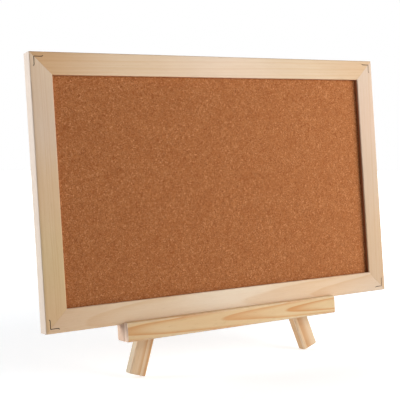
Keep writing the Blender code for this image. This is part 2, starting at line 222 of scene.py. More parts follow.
def box(low: Sequence[float], high: Sequence[float]) -> Builder:
    """A box between two corners."""
    builder = bmesh.new()
    size = Vector(high) - Vector(low)
    middle = (Vector(high) + Vector(low)) / 2
    placed = Matrix.Translation(middle) @ Matrix.Diagonal((*size, 1.0))
    bmesh.ops.create_cube(builder, size=1.0, matrix=placed)
    return builder


def bevel(builder: Builder, edges: list[bmesh.types.BMEdge], radius: float, steps: int) -> None:
    """Round some edges."""
    bmesh.ops.bevel(builder, geom=edges, offset=radius, offset_type="OFFSET", segments=steps, profile=0.5,
                    affect="EDGES")


def round_edges(builder: Builder, direction: Sequence[float], radius: float, steps: int = 8) -> None:
    """Round every edge that runs along a direction."""
    axis = Vector(direction).normalized()
    edges = []
    for edge in builder.edges:
        run = (edge.verts[1].co - edge.verts[0].co).normalized()
        if abs(run.dot(axis)) > 0.999:
            edges.append(edge)
    bevel(builder, edges, radius, steps)


def round_foot(builder: Builder, radius: float, steps: int = 4) -> None:
    """Round the edges round a leg's lowest face."""
    floor = min(corner.co.z for corner in builder.verts) + 1e-6
    edges = [edge for edge in builder.edges if max(end.co.z for end in edge.verts) < floor]
    bevel(builder, edges, radius, steps)


def slice_off(builder: Builder, point: Sequence[float], normal: Sequence[float]) -> None:
    """Cut away what lies on the normal's side of a plane, and close the cut."""
    geometry = [*builder.verts, *builder.edges, *builder.faces]
    result = bmesh.ops.bisect_plane(builder, geom=geometry, dist=1e-8, plane_co=point, plane_no=normal,
                                    clear_outer=True)
    edges = [item for item in result["geom_cut"] if isinstance(item, bmesh.types.BMEdge)]
    bmesh.ops.contextual_create(builder, geom=edges)


def prism(outline: Sequence[Point], start: float, end: float, turn: Matrix) -> Builder:
    """An outline in X and Y, run from one Z to another and then turned."""
    builder = bmesh.new()
    rings = [[builder.verts.new((x, y, level)) for x, y in outline] for level in (start, end)]
    for index in range(len(outline)):
        builder.faces.new((rings[0][index - 1], rings[0][index], rings[1][index], rings[1][index - 1]))
    for ring in rings:
        builder.faces.new(ring)
    builder.transform(turn)
    bmesh.ops.recalc_face_normals(builder, faces=builder.faces)
    return builder


def turned(profile: Sequence[Point], steps: int = ROUND_STEPS) -> Builder:
    """A profile of (radius, height) turned about Z; both its ends lie on Z."""
    builder = bmesh.new()
    rings = []
    for radius, level in profile:
        angles = [math.tau * step / steps for step in range(steps if radius > 0.0 else 1)]
        rings.append([builder.verts.new((radius * math.cos(angle), radius * math.sin(angle), level))
                      for angle in angles])
    for lower, upper in zip(rings, rings[1:]):
        for step in range(steps):
            after = step + 1
            corners = (lower[step % len(lower)], lower[after % len(lower)],
                       upper[after % len(upper)], upper[step % len(upper)])
            builder.faces.new(list(dict.fromkeys(corners)))
    bmesh.ops.recalc_face_normals(builder, faces=builder.faces)
    return builder


def arc(centre: Point, radius: float, start: float, end: float, steps: int) -> list[Point]:
    """Points on an arc, angles in degrees."""
    points = []
    for step in range(steps + 1):
        angle = math.radians(start + (end - start) * step / steps)
        points.append((centre[0] + radius * math.cos(angle), centre[1] + radius * math.sin(angle)))
    return points


def link(name: str, data: bpy.types.ID) -> Piece:
    """A new object in the scene that shows some data."""
    made = bpy.data.objects.new(name, data)
    bpy.context.scene.collection.objects.link(made)
    return made


def add_object(name: str, builder: Builder) -> Piece:
    """Link a bmesh as an object at the origin.

    Args:
        name: The object's name.
        builder: The shape, which is used up.

    Returns:
        The new object.
    """
    mesh = bpy.data.meshes.new(name)
    builder.to_mesh(mesh)
    builder.free()
    return link(name, mesh)


def bake(made: Piece) -> Piece:
    """Turn an object's modifiers into plain mesh."""
    graph = bpy.context.evaluated_depsgraph_get()
    graph.update()
    mesh = bpy.data.meshes.new_from_object(made.evaluated_get(graph))
    made.modifiers.clear()
    old = made.data
    made.data = mesh
    mesh.name = made.name
    bpy.data.meshes.remove(old)
    return made


def face_outwards(made: Piece) -> Piece:
    """Point every face of a closed mesh outwards."""
    builder = bmesh.new()
    builder.from_mesh(made.data)
    bmesh.ops.recalc_face_normals(builder, faces=builder.faces)
    builder.to_mesh(made.data)
    builder.free()
    return made


def carve(made: Piece, tools: Sequence[Piece]) -> Piece:
    """Cut tools out of a piece, and remove them."""
    for tool in tools:
        modifier = made.modifiers.new(tool.name, "BOOLEAN")
        modifier.operation = "DIFFERENCE"
        modifier.solver = "EXACT"
        modifier.object = tool
    bake(made)
    for tool in tools:
        bpy.data.objects.remove(tool, do_unlink=True)
    return made


def soften(made: Piece, width: float, steps: int = 2) -> Piece:
    """Take the sharpness off every hard edge."""
    modifier = made.modifiers.new("soften", "BEVEL")
    modifier.width = width
    modifier.segments = steps
    modifier.limit_method = "ANGLE"
    modifier.angle_limit = SHARP_ANGLE
    modifier.use_clamp_overlap = True
    return bake(made)


def hand_over(made: Piece, axes: Axes, material: Material, body: str,
              nodes: Sequence[str]) -> None:
    """Dress a finished piece, put it in its place and tell the frame about it.

    Args:
        made: The piece, drawn in its own axes.
        axes: Those axes.
        material: Its finish.
        body: The body that it rides on.
        nodes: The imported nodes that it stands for.
    """
    made.data.materials.clear()
    made.data.materials.append(material)
    made.data.transform(axes.matrix)
    made.data.shade_smooth()
    made.data.set_sharp_from_angle(angle=SMOOTH_ANGLE)
    made.data.update()
    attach(made, body)
    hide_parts(*nodes)
    LOG.info("%s rides on %s and stands for %s", made.name, body, ", ".join(nodes))


# ------------------------------------------------------------------ node trees

@dataclass
class Graph:
    """A node tree being built."""

    tree: Tree

    def feed(self, socket: Socket, value: object) -> None:
        """Link or set a socket."""
        if isinstance(value, Socket):
            self.tree.links.new(value, socket)
        else:
            socket.default_value = value

    def add(self, kind: str, inputs: dict[str | int, object] | None = None, **settings: object) -> Node:
        """Add a node.

        Args:
            kind: The node's type.
            inputs: Values or sockets, by the input's name or number.
            settings: The node's own properties.

        Returns:
            The new node.
        """
        node = self.tree.nodes.new(kind)
        for key, value in settings.items():
            setattr(node, key, value)
        for key, value in (inputs or {}).items():
            self.feed(node.inputs[key], value)
        return node

    def math(self, operation: str, *values: object) -> Socket:
        """The result of a Math node."""
        return self.add("ShaderNodeMath", dict(enumerate(values)), operation=operation).outputs[0]

    def vector(self, operation: str, *values: object) -> Socket:
        """The result of a Vector Math node."""
        return self.add("ShaderNodeVectorMath", dict(enumerate(values)), operation=operation).outputs[0]

    def split(self, vector: object) -> list[Socket]:
        """A vector's three parts."""
        return list(self.add("ShaderNodeSeparateXYZ", {0: vector}).outputs)

    def joined(self, x: object = 0.0, y: object = 0.0, z: object = 0.0) -> Socket:
        """A vector from three parts."""
        return self.add("ShaderNodeCombineXYZ", {0: x, 1: y, 2: z}).outputs[0]

    def span(self, value: Socket, low: float, high: float, start: float = 0.0, end: float = 1.0) -> Socket:
        """A value eased from one range to another."""
        inputs = {"Value": value, "From Min": low, "From Max": high, "To Min": start, "To Max": end}
        return self.add("ShaderNodeMapRange", inputs, interpolation_type="SMOOTHSTEP").outputs[0]

    def mix(self, factor: object, first: object, second: object, blend: str = "MIX") -> Socket:
        """Two colours mixed."""
        inputs = {0: factor, 6: opaque(first), 7: opaque(second)}
        return self.add("ShaderNodeMix", inputs, data_type="RGBA", blend_type=blend).outputs[2]

    def noise(self, vector: Socket, scale: object = 1.0, detail: float = 2.0,
              roughness: float = 0.5) -> Socket:
        """Noise from 0 to 1."""
        inputs = {"Vector": vector, "Scale": scale, "Detail": detail, "Roughness": roughness}
        return self.add("ShaderNodeTexNoise", inputs).outputs[0]

    def group(self, tree: Tree, values: dict[str, object]) -> list[Socket]:
        """Place a shared group with its own values, and give its outputs in order."""
        node = self.add("ShaderNodeGroup", node_tree=tree)
        for key, value in values.items():
            self.feed(node.inputs[key], value)
        return list(node.outputs)

    def stretched(self, vector: object, scales: Triple, seed: object = 0.0) -> Socket:
        """A vector scaled on each axis and shifted by a seed."""
        scaled = self.vector("MULTIPLY", vector, scales)
        shift = self.vector("MULTIPLY", self.joined(seed, seed, seed), (3.17, 7.31, 5.53))
        return self.vector("ADD", scaled, shift)


def opaque(colour: object) -> object:
    """A plain colour with its alpha, or a socket as it is."""
    return colour if isinstance(colour, Socket) else (*colour, 1.0)


def srgb(red: int, green: int, blue: int) -> Colour:
    """Linear colour from display values."""
    linear = []
    for value in (red / 255, green / 255, blue / 255):
        linear.append(value / 12.92 if value <= 0.04045 else ((value + 0.055) / 1.055) ** 2.4)
    return tuple(linear)


def start_group(name: str, kind: str, inputs: dict[str, tuple[str, object]],
                outputs: dict[str, str]) -> tuple[Graph, dict[str, Socket], Node]:
    """Open a node group.

    Args:
        name: The group's name.
        kind: The tree's type.
        inputs: Socket type and starting value of each named input.
        outputs: Socket type of each named output.

    Returns:
        The graph, its inputs by name and its output node.
    """
    tree = bpy.data.node_groups.new(name, kind)
    for label, (socket, value) in inputs.items():
        made = tree.interface.new_socket(label, in_out="INPUT", socket_type=f"NodeSocket{socket}")
        if value is not None:
            made.default_value = value
    for label, socket in outputs.items():
        tree.interface.new_socket(label, in_out="OUTPUT", socket_type=f"NodeSocket{socket}")
    graph = Graph(tree)
    entry = graph.add("NodeGroupInput")
    return graph, {label: entry.outputs[label] for label in inputs}, graph.add("NodeGroupOutput")


def pine_group() -> Tree:
    """Growth rings and fibres of sawn pine, from axes with X along the grain.

    Returns:
        A group that gives the latewood, the fibre streaks, the resin canals and the slow change of tone.
    """
    inputs = {"Vector": ("Vector", (0.0, 0.0, 0.0)), "Ring": ("Float", 0.0018), "Pith Side": ("Float", 0.0),
              "Pith Depth": ("Float", 0.03), "Taper": ("Float", 0.0), "Wander": ("Float", 0.0006),
              "Seed": ("Float", 0.0)}
    outputs = {"Late": "Float", "Fibre": "Float", "Canal": "Float", "Tone": "Float"}
    graph, into, out = start_group("pine_grain", "ShaderNodeTree", inputs, outputs)
    place = into["Vector"]
    along, across, out_of_face = graph.split(place)
    side = graph.math("SUBTRACT", across, into["Pith Side"])
    depth = graph.math("ADD", out_of_face, into["Pith Depth"])
    depth = graph.math("MULTIPLY_ADD", along, into["Taper"], depth)
    squares = graph.math("ADD", graph.math("MULTIPLY", side, side), graph.math("MULTIPLY", depth, depth))
    radius = graph.math("SQRT", squares)
    bend = graph.noise(graph.stretched(place, (11.0, 60.0, 60.0), into["Seed"]), 1.0, 2.0)
    radius = graph.math("MULTIPLY_ADD", graph.math("SUBTRACT", bend, 0.5), into["Wander"], radius)
    phase = graph.math("DIVIDE", radius, into["Ring"])
    waves = {"W": graph.math("ADD", phase, into["Seed"]), "Scale": 0.55, "Detail": 1.0}
    uneven = graph.add("ShaderNodeTexNoise", waves, noise_dimensions="1D").outputs[0]
    phase = graph.math("MULTIPLY_ADD", uneven, 1.3, phase)
    part = graph.math("FRACT", phase)
    whole = {"W": graph.math("FLOOR", phase)}
    ring = graph.add("ShaderNodeTexWhiteNoise", whole, noise_dimensions="1D").outputs[0]
    rise = graph.span(part, 0.30, 0.88)
    fall = graph.span(part, 0.90, 1.0, 1.0, 0.0)
    late = graph.math("MULTIPLY", graph.math("MULTIPLY", rise, fall), graph.span(ring, 0.0, 1.0, 0.4, 1.0))
    fibre = graph.noise(graph.stretched(place, (70.0, 1500.0, 1500.0), into["Seed"]), 1.0, 3.0, 0.6)
    canal = graph.noise(graph.stretched(place, (190.0, 3200.0, 3200.0), into["Seed"]), 1.0, 1.0)
    tone = graph.noise(graph.stretched(place, (9.0, 70.0, 70.0), into["Seed"]), 1.0, 2.0)
    graph.feed(out.inputs["Late"], late)
    graph.feed(out.inputs["Fibre"], fibre)
    graph.feed(out.inputs["Canal"], graph.span(canal, 0.66, 0.76))
    graph.feed(out.inputs["Tone"], tone)
    return graph.tree


def wear_group() -> Tree:
    """Rubbed edges, from a piece's own edge attribute.

    Returns:
        A group that gives a mask of the rubbed edge, broken up by noise.
    """
    inputs = {"Vector": ("Vector", (0.0, 0.0, 0.0)), "Scale": ("Float", 220.0), "Amount": ("Float", 0.7)}
    graph, into, out = start_group("edge_wear", "ShaderNodeTree", inputs, {"Wear": "Float"})
    edge = graph.add("ShaderNodeAttribute", attribute_name="edge").outputs["Fac"]
    patch = graph.span(graph.noise(into["Vector"], into["Scale"], 3.0, 0.6), 0.32, 0.66, 0.35, 1.0)
    worn = graph.math("MULTIPLY", edge, patch)
    graph.feed(out.inputs["Wear"], graph.math("MULTIPLY", worn, into["Amount"]))
    return graph.tree


def cork_group() -> Tree:
    """Pressed cork granules of two sizes in a dark binder.

    Returns:
        A group that gives each granule's tone, the binder between them, bark and pale flecks, and height.
    """
    inputs = {"Vector": ("Vector", (0.0, 0.0, 0.0)), "Granule": ("Float", 0.0016), "Seed": ("Float", 0.0)}
    outputs = {"Tone": "Float", "Binder": "Float", "Bark": "Float", "Pale": "Float", "Height": "Float"}
    graph, into, out = start_group("cork_granules", "ShaderNodeTree", inputs, outputs)
    unit = graph.math("DIVIDE", 1.0, into["Granule"])
    place = graph.stretched(into["Vector"], (1.0, 1.0, 1.0), graph.math("MULTIPLY", into["Seed"], 0.01))
    crumple = graph.add("ShaderNodeTexNoise", {"Vector": place, "Scale": unit, "Detail": 2.0}).outputs[1]
    crumple = graph.vector("SUBTRACT", crumple, (0.5, 0.5, 0.5))
    reach = {0: crumple, "Scale": graph.math("MULTIPLY", into["Granule"], 0.9)}
    swing = graph.add("ShaderNodeVectorMath", reach, operation="SCALE").outputs[0]
    place = graph.vector("ADD", place, swing)
    tones, edges = [], []
    for fineness in (1.0, 2.1):
        scale = graph.math("MULTIPLY", unit, fineness)
        cell = graph.add("ShaderNodeTexVoronoi", {"Vector": place, "Scale": scale})
        rim = graph.add("ShaderNodeTexVoronoi", {"Vector": place, "Scale": scale}, feature="DISTANCE_TO_EDGE")
        tones.append(graph.add("ShaderNodeSeparateColor", {0: cell.outputs["Color"]}).outputs)
        edges.append(graph.span(rim.outputs[0], 0.0, 0.16, 1.0, 0.0))
    choice = graph.span(graph.noise(place, graph.math("MULTIPLY", unit, 0.45), 1.0), 0.44, 0.56)
    tone = graph.add("ShaderNodeMix", {0: choice, 2: tones[0][0], 3: tones[1][0]}).outputs[0]
    binder = graph.add("ShaderNodeMix", {0: choice, 2: edges[0], 3: edges[1]}).outputs[0]
    graph.feed(out.inputs["Tone"], tone)
    graph.feed(out.inputs["Binder"], binder)
    graph.feed(out.inputs["Bark"], graph.span(tones[1][1], 0.86, 0.90))
    graph.feed(out.inputs["Pale"], graph.span(tones[1][2], 0.84, 0.88))
    graph.feed(out.inputs["Height"], graph.math("MULTIPLY_ADD", binder, -0.8, tone))
    return graph.tree


def metal_group() -> Tree:
    """Fine scratches and dull patches of small metal parts.

    Returns:
        A group that gives the scratches and the tarnish.
    """
    inputs = {"Vector": ("Vector", (0.0, 0.0, 0.0)), "Seed": ("Float", 0.0)}
    outputs = {"Scratch": "Float", "Tarnish": "Float"}
    graph, into, out = start_group("worn_metal", "ShaderNodeTree", inputs, outputs)
    fine = graph.noise(graph.stretched(into["Vector"], (900.0, 9000.0, 5000.0), into["Seed"]), 1.0, 2.0)
    dull = graph.noise(graph.stretched(into["Vector"], (520.0, 520.0, 520.0), into["Seed"]), 1.0, 3.0, 0.6)
    graph.feed(out.inputs["Scratch"], graph.span(fine, 0.35, 0.7))
    graph.feed(out.inputs["Tarnish"], graph.span(dull, 0.42, 0.66))
    return graph.tree


# ------------------------------------------------------------------ finishes

@dataclass(frozen=True)
class Kit:
    """The shared node groups."""

    pine: Tree
    wear: Tree
    cork: Tree
    metal: Tree

    @classmethod
    def build(cls) -> "Kit":
        """Build each group once."""
        return cls(pine_group(), wear_group(), cork_group(), metal_group())


def open_material(name: str, axes: Axes | None = None) -> tuple[Material, Graph, Socket, Node]:
    """Start a material.

    Args:
        name: The material's name.
        axes: Axes that its pattern lies in, or the object's own.

    Returns:
        The material, its graph, the pattern's coordinates and the Principled shader.
    """
    material = bpy.data.materials.new(name)
    material.use_nodes = True
    graph = Graph(material.node_tree)
    place = graph.add("ShaderNodeTexCoord").outputs["Object"]
    if axes:
        values = {"Vector": place, "Location": axes.matrix.translation,
                  "Rotation": axes.matrix.to_euler("XYZ")}
        place = graph.add("ShaderNodeMapping", values, vector_type="TEXTURE").outputs[0]
    return material, graph, place, material.node_tree.nodes["Principled BSDF"]


def emboss(graph: Graph, shader: Node, height: Socket, distance: float) -> None:
    """Give a shader its bumps."""
    bump = graph.add("ShaderNodeBump", {"Height": height, "Distance": distance, "Strength": 1.0})
    graph.feed(shader.inputs["Normal"], bump.outputs[0])


@dataclass(frozen=True)
class PineGrain:
    """How the growth rings lie in one piece of pine."""

    ring: float = 0.0019
    side: float = 0.004
    depth: float = 0.030
    taper: float = 0.0
    wander: float = 0.0012
    seed: float = 1.0


@dataclass(frozen=True)
class PineFinish:
    """Pale sawn pine with a dull surface, its tone drifting along the grain.

    The tones run evenly from the low end of X to the high end. Latewood, fibres and resin canals
    are tints that darken whatever tone they lie on. The end tone is the cut ends' own colour with painted
    light and painted shade mixed in. The wall and the rim are distances from the piece's middle, or 0:
    painted shade darkens the face at the wall below its rounded edge, and a painted highlight makes the face
    at the rim, on the other side, paler.
    """

    tones: tuple[Colour, ...]
    length: float
    grain: PineGrain
    late: Colour = (0.84, 0.66, 0.46)
    contrast: float = 0.7
    fibre: float = 0.35
    canal: float = 0.25
    cloud: float = 0.25
    rubbed: float = 0.25
    # the cut ends' own colour with painted light and shade mixed in
    end_grain_and_light_tone: Colour = srgb(214, 188, 168)
    end_share: float = 0.0
    wall: float = 0.0
    # painted shade multiplied into the face at the wall: the frame's shadowed rabbet wall and each front
    # leg's side face
    wall_shade_tint: Colour = (0.62, 0.30, 0.16)
    rim: float = 0.0
    # painted highlight for the rim, the rounded edge that the side light catches
    rim_highlight_tone: Colour = srgb(203, 190, 179)
    canal_tint: Colour = (0.45, 0.32, 0.22)
    rubbed_tone: Colour = (0.93, 0.84, 0.72)
    roughness: float = 0.62
    specular: float = 0.30
    bump: float = 0.00006

    def drift(self, graph: Graph, along: Socket) -> Socket:
        """The wood's tone along the grain."""
        place = graph.add("ShaderNodeMapRange", {"Value": along, "From Min": -self.length / 2,
                                                 "From Max": self.length / 2}).outputs[0]
        ramp = graph.add("ShaderNodeValToRGB", {0: place})
        ramp.color_ramp.interpolation = "EASE"
        elements = ramp.color_ramp.elements
        last = len(self.tones) - 1
        while len(elements) <= last:
            elements.new(0.5)
        for index, tone in enumerate(self.tones):
            elements[index].position = index / last
        for index, tone in enumerate(self.tones):
            elements[index].color = (*tone, 1.0)
        return ramp.outputs[0]

    def material(self, name: str, kit: Kit, axes: Axes) -> Material:
        """Build the material for one piece.

        Args:
            name: The material's name.
            kit: The shared groups.
            axes: Axes with X along the grain from the piece's middle and Z out of the show face.

        Returns:
            The material.
        """
        material, graph, place, shader = open_material(name, axes)
        grain = self.grain
        values = {"Vector": place, "Ring": grain.ring, "Pith Side": grain.side, "Pith Depth": grain.depth,
                  "Taper": grain.taper, "Wander": grain.wander, "Seed": grain.seed}
        late, fibre, canal, tone = graph.group(kit.pine, values)
        wear = graph.group(kit.wear, {"Vector": place})[0]
        along, inwards, outwards = graph.split(place)
        colour = self.drift(graph, along)
        half_tint = tuple(math.sqrt(part) for part in self.late)
        colour = graph.mix(graph.math("MULTIPLY", late, self.contrast), colour, self.late, "MULTIPLY")
        colour = graph.mix(graph.span(fibre, 0.3, 0.7, self.fibre, 0.0), colour, self.late, "MULTIPLY")
        colour = graph.mix(graph.span(tone, 0.35, 0.65, 0.0, self.cloud), colour, half_tint, "MULTIPLY")
        colour = graph.mix(graph.math("MULTIPLY", canal, self.canal), colour, self.canal_tint, "MULTIPLY")
        colour = graph.mix(graph.math("MULTIPLY", wear, self.rubbed), colour, self.rubbed_tone)
        # painted light and shade at the cut ends, mixed with the end grain's colour
        end = graph.span(graph.math("ABSOLUTE", along), self.length / 2 - 0.0009, self.length / 2 - 0.0003)
        colour = graph.mix(graph.math("MULTIPLY", end, self.end_share), colour, self.end_grain_and_light_tone)
        # painted shade at the wall, standing for the shadow that falls there
        if self.wall:
            near = graph.span(inwards, self.wall - 0.0006, self.wall - 0.0002)
            deep = graph.span(outwards, -0.0017, -0.0006, 1.0, 0.0)
            colour = graph.mix(graph.math("MULTIPLY", near, deep), colour, self.wall_shade_tint, "MULTIPLY")
        # painted highlight along the rim
        if self.rim:
            outside = graph.span(inwards, 0.0001 - self.rim, 0.0006 - self.rim, 0.85, 0.0)
            colour = graph.mix(outside, colour, self.rim_highlight_tone)
        graph.feed(shader.inputs["Base Color"], colour)
        rough = graph.math("MULTIPLY_ADD", late, -0.10, self.roughness)
        graph.feed(shader.inputs["Roughness"], graph.math("MULTIPLY_ADD", fibre, 0.14, rough))
        shader.inputs["Specular IOR Level"].default_value = self.specular
        height = graph.math("MULTIPLY_ADD", late, 0.5, graph.math("MULTIPLY", fibre, 0.9))
        emboss(graph, shader, graph.math("SUBTRACT", height, canal), self.bump)
        return material


@dataclass(frozen=True)
class CorkFinish:
    """Pressed cork granules, dry and matt."""

    base: Colour = srgb(189, 121, 73)
    deep: Colour = srgb(165, 97, 53)
    bright: Colour = srgb(208, 143, 94)
    bark: Colour = srgb(126, 68, 37)
    granule: float = 0.0012
    roughness: float = 0.94
    specular: float = 0.08
    bump: float = 0.00016

    def material(self, name: str, kit: Kit, axes: Axes) -> Material:
        """Build the material in the board's axes."""
        material, graph, place, shader = open_material(name, axes)
        values = {"Vector": place, "Granule": self.granule, "Seed": 4.0}
        tone, binder, bark, pale, height = graph.group(kit.cork, values)
        colour = graph.mix(graph.span(tone, 0.0, 0.55), self.deep, self.base)
        colour = graph.mix(graph.span(tone, 0.55, 1.0), colour, self.bright)
        colour = graph.mix(graph.math("MULTIPLY", pale, 0.35), colour, self.bright)
        colour = graph.mix(graph.math("MULTIPLY", bark, 0.55), colour, self.bark)
        colour = graph.mix(graph.math("MULTIPLY", binder, 0.45), colour, self.bark)
        cloud = graph.noise(place, 55.0, 3.0, 0.6)
        colour = graph.mix(graph.span(cloud, 0.3, 0.7, 0.0, 0.22), colour, self.deep)
        graph.feed(shader.inputs["Base Color"], colour)
        graph.feed(shader.inputs["Roughness"], graph.math("MULTIPLY_ADD", tone, -0.12, self.roughness))
        shader.inputs["Specular IOR Level"].default_value = self.specular
        emboss(graph, shader, height, self.bump)
        return material


@dataclass(frozen=True)
class HardboardFinish:
    """Brown pressed fibre with its mesh-marked rough side out."""

    base: Colour = srgb(148, 102, 64)
    dark: Colour = srgb(96, 62, 38)
    pitch: float = 0.0014
    roughness: float = 0.7
    bump: float = 0.00012

    def material(self, name: str, kit: Kit, axes: Axes) -> Material:
        """Build the material in the board's axes."""
        material, graph, place, shader = open_material(name, axes)
        felt = graph.noise(graph.stretched(place, (900.0, 900.0, 900.0), 2.0), 1.0, 4.0, 0.7)
        cloud = graph.noise(place, 60.0, 3.0)
        waves = []
        for part in graph.split(place)[::2]:
            waves.append(graph.math("SINE", graph.math("MULTIPLY", part, math.tau / self.pitch)))
        mesh = graph.math("MULTIPLY", *waves)
        colour = graph.mix(graph.span(felt, 0.25, 0.75), self.dark, self.base)
        colour = graph.mix(graph.span(cloud, 0.35, 0.7, 0.0, 0.4), colour, self.dark)
        colour = graph.mix(graph.span(mesh, -1.0, 1.0, 0.18, 0.0), colour, self.dark)
        graph.feed(shader.inputs["Base Color"], colour)
        graph.feed(shader.inputs["Roughness"], graph.math("MULTIPLY_ADD", felt, 0.2, self.roughness))
        emboss(graph, shader, graph.math("MULTIPLY_ADD", felt, 0.8, mesh), self.bump)
        return material


@dataclass(frozen=True)
class MetalFinish:
    """A small metal part with fine scratches and dull patches."""

    base: Colour
    tarnish: Colour
    roughness: float = 0.34
    seed: float = 1.0
    bump: float = 0.00001

    def material(self, name: str, kit: Kit, axes: Axes | None = None) -> Material:
        """Build the material."""
        material, graph, place, shader = open_material(name, axes)
        scratch, tarnish = graph.group(kit.metal, {"Vector": place, "Seed": self.seed})
        colour = graph.mix(graph.math("MULTIPLY", tarnish, 0.6), self.base, self.tarnish)
        graph.feed(shader.inputs["Base Color"], colour)
        rough = graph.math("MULTIPLY_ADD", tarnish, 0.22, self.roughness)
        graph.feed(shader.inputs["Roughness"], graph.math("MULTIPLY_ADD", scratch, 0.10, rough))
        shader.inputs["Metallic"].default_value = 1.0
        emboss(graph, shader, scratch, self.bump)
        return material


# ------------------------------------------------------------------ geometry trees

def close_tree(graph: Graph, into: dict[str, Socket], out: Node, shape: Socket) -> Tree:
    """End a geometry tree with plain dressed mesh."""
    whole = graph.add("GeometryNodeRealizeInstances", {0: shape})
    values = {"Geometry": whole.outputs[0], "Material": into["Material"]}
    dressed = graph.add("GeometryNodeSetMaterial", values)
    graph.feed(out.inputs[0], dressed.outputs[0])
    return graph.tree


@cache
def fixings_tree() -> Tree:
    """One small part repeated at every vertex of a seats mesh.

    Returns:
        A tree that turns each copy by the seat's turn attribute and a little at random.
    """
    inputs = {"Seats": ("Geometry", None), "Fixing": ("Object", None), "Material": ("Material", None),
              "Jitter": ("Float", 0.0), "Seed": ("Int", 0)}
    graph, into, out = start_group("fixings", "GeometryNodeTree", inputs, {"Geometry": "Geometry"})
    part = graph.add("GeometryNodeObjectInfo", {"Object": into["Fixing"]})
    turn = graph.add("GeometryNodeInputNamedAttribute", {"Name": "turn"}, data_type="FLOAT_VECTOR")
    facing = graph.add("FunctionNodeEulerToRotation", {0: turn.outputs[0]})
    limits = {2: graph.math("MULTIPLY", into["Jitter"], -1.0), 3: into["Jitter"], "Seed": into["Seed"]}
    chance = graph.add("FunctionNodeRandomValue", limits, data_type="FLOAT").outputs[1]
    spin = graph.add("FunctionNodeEulerToRotation", {0: graph.joined(z=chance)})
    turns = {0: facing.outputs[0], 1: spin.outputs[0]}
    both = graph.add("FunctionNodeRotateRotation", turns, rotation_space="LOCAL")
    values = {"Points": into["Seats"], "Instance": part.outputs["Geometry"], "Rotation": both.outputs[0]}
    placed = graph.add("GeometryNodeInstanceOnPoints", values)
    return close_tree(graph, into, out, placed.outputs[0])


@cache
def strip_tree() -> Tree:
    """A flat strip bent along each line of a path mesh, with rounded bends.

    Returns:
        A tree that sweeps a rectangle along the path.
    """
    inputs = {"Path": ("Geometry", None), "Material": ("Material", None), "Thickness": ("Float", 0.0005),
              "Width": ("Float", 0.005), "Bend": ("Float", 0.0003)}
    graph, into, out = start_group("bent_strip", "GeometryNodeTree", inputs, {"Geometry": "Geometry"})
    line = graph.add("GeometryNodeMeshToCurve", {0: into["Path"]})
    bends = {"Curve": line.outputs[0], "Radius": into["Bend"], "Count": 5}
    eased = graph.add("GeometryNodeFilletCurve", bends, mode="POLY")
    upright = graph.add("GeometryNodeSetCurveNormal", {"Curve": eased.outputs[0]}, mode="Z_UP")
    sizes = {"Width": into["Thickness"], "Height": into["Width"]}
    section = graph.add("GeometryNodeCurvePrimitiveQuadrilateral", sizes)
    sweep = {"Curve": upright.outputs[0], "Profile Curve": section.outputs[0], "Fill Caps": True}
    swept = graph.add("GeometryNodeCurveToMesh", sweep)
    return close_tree(graph, into, out, swept.outputs[0])


@cache
def relief_tree() -> Tree:
    """The uneven face of a pressed sheet.

    Returns:
        A tree that moves the front's points in and out by granule.
    """
    inputs = {"Sheet": ("Geometry", None), "Material": ("Material", None), "Granule": ("Float", 0.003),
              "Relief": ("Float", 0.0001), "Seed": ("Float", 0.0)}
    graph, into, out = start_group("granule_relief", "GeometryNodeTree", inputs, {"Geometry": "Geometry"})
    place = graph.add("GeometryNodeInputPosition").outputs[0]
    unit = graph.math("DIVIDE", 1.0, into["Granule"])
    lumps = graph.noise(graph.stretched(place, (1.0, 1.0, 1.0), into["Seed"]), unit, 2.0, 0.6)
    cells = graph.add("ShaderNodeTexVoronoi", {"Vector": place, "Scale": unit}).outputs["Distance"]
    height = graph.math("SUBTRACT", lumps, graph.math("MULTIPLY", cells, 0.5))
    front = graph.add("GeometryNodeInputNamedAttribute", {"Name": "front"}, data_type="FLOAT").outputs[0]
    height = graph.math("MULTIPLY", graph.math("MULTIPLY", height, front), into["Relief"])
    offset = graph.joined(y=graph.math("MULTIPLY", height, -1.0))
    moved = graph.add("GeometryNodeSetPosition", {"Geometry": into["Sheet"], "Offset": offset})
    return close_tree(graph, into, out, moved.outputs[0])


def grow(made: Piece, tree: Tree, **values: object) -> Piece:
    """Run a geometry tree on an object and keep its result as plain mesh.

    Args:
        made: The object that carries the seats, path or sheet.
        tree: The geometry tree.
        values: The tree's inputs by name, with spaces as underscores.

    Returns:
        The same object with the grown mesh.
    """
    modifier = made.modifiers.new(tree.name, "NODES")
    modifier.node_group = tree
    for item in tree.interface.items_tree:
        key = item.name.replace(" ", "_").lower()
        if item.in_out == "INPUT" and key in values:
            modifier[item.identifier] = values[key]
    return bake(made)


def seats_mesh(name: str, seats: Sequence[Seat]) -> Piece:
    """An object with one loose vertex for each seat.

    Args:
        name: The object's name.
        seats: Place and Euler turn of each seat.

    Returns:
        The object, with the turns as an attribute.
    """
    mesh = bpy.data.meshes.new(name)
    mesh.from_pydata([place for place, _ in seats], [], [])
    turns = mesh.attributes.new("turn", "FLOAT_VECTOR", "POINT")
    for index, (_, turn) in enumerate(seats):
        turns.data[index].vector = turn
    return link(name, mesh)


def repeat(name: str, part: Piece, seats: Sequence[Seat], material: Material | None, jitter: float = 0.0,
           seed: int = 1) -> Piece:
    """Put copies of a part in seats, as one object.

    Args:
        name: The object's name.
        part: The part, which is used up.
        seats: Place and Euler turn of each copy.
        material: Their finish.
        jitter: How far each may turn about its own axis by chance.
        seed: Seed of the chance turns.

    Returns:
        The copies as plain mesh.
    """
    made = grow(seats_mesh(name, seats), fixings_tree(), fixing=part, jitter=jitter, seed=seed,
                material=material)
    bpy.data.objects.remove(part, do_unlink=True)
    return made


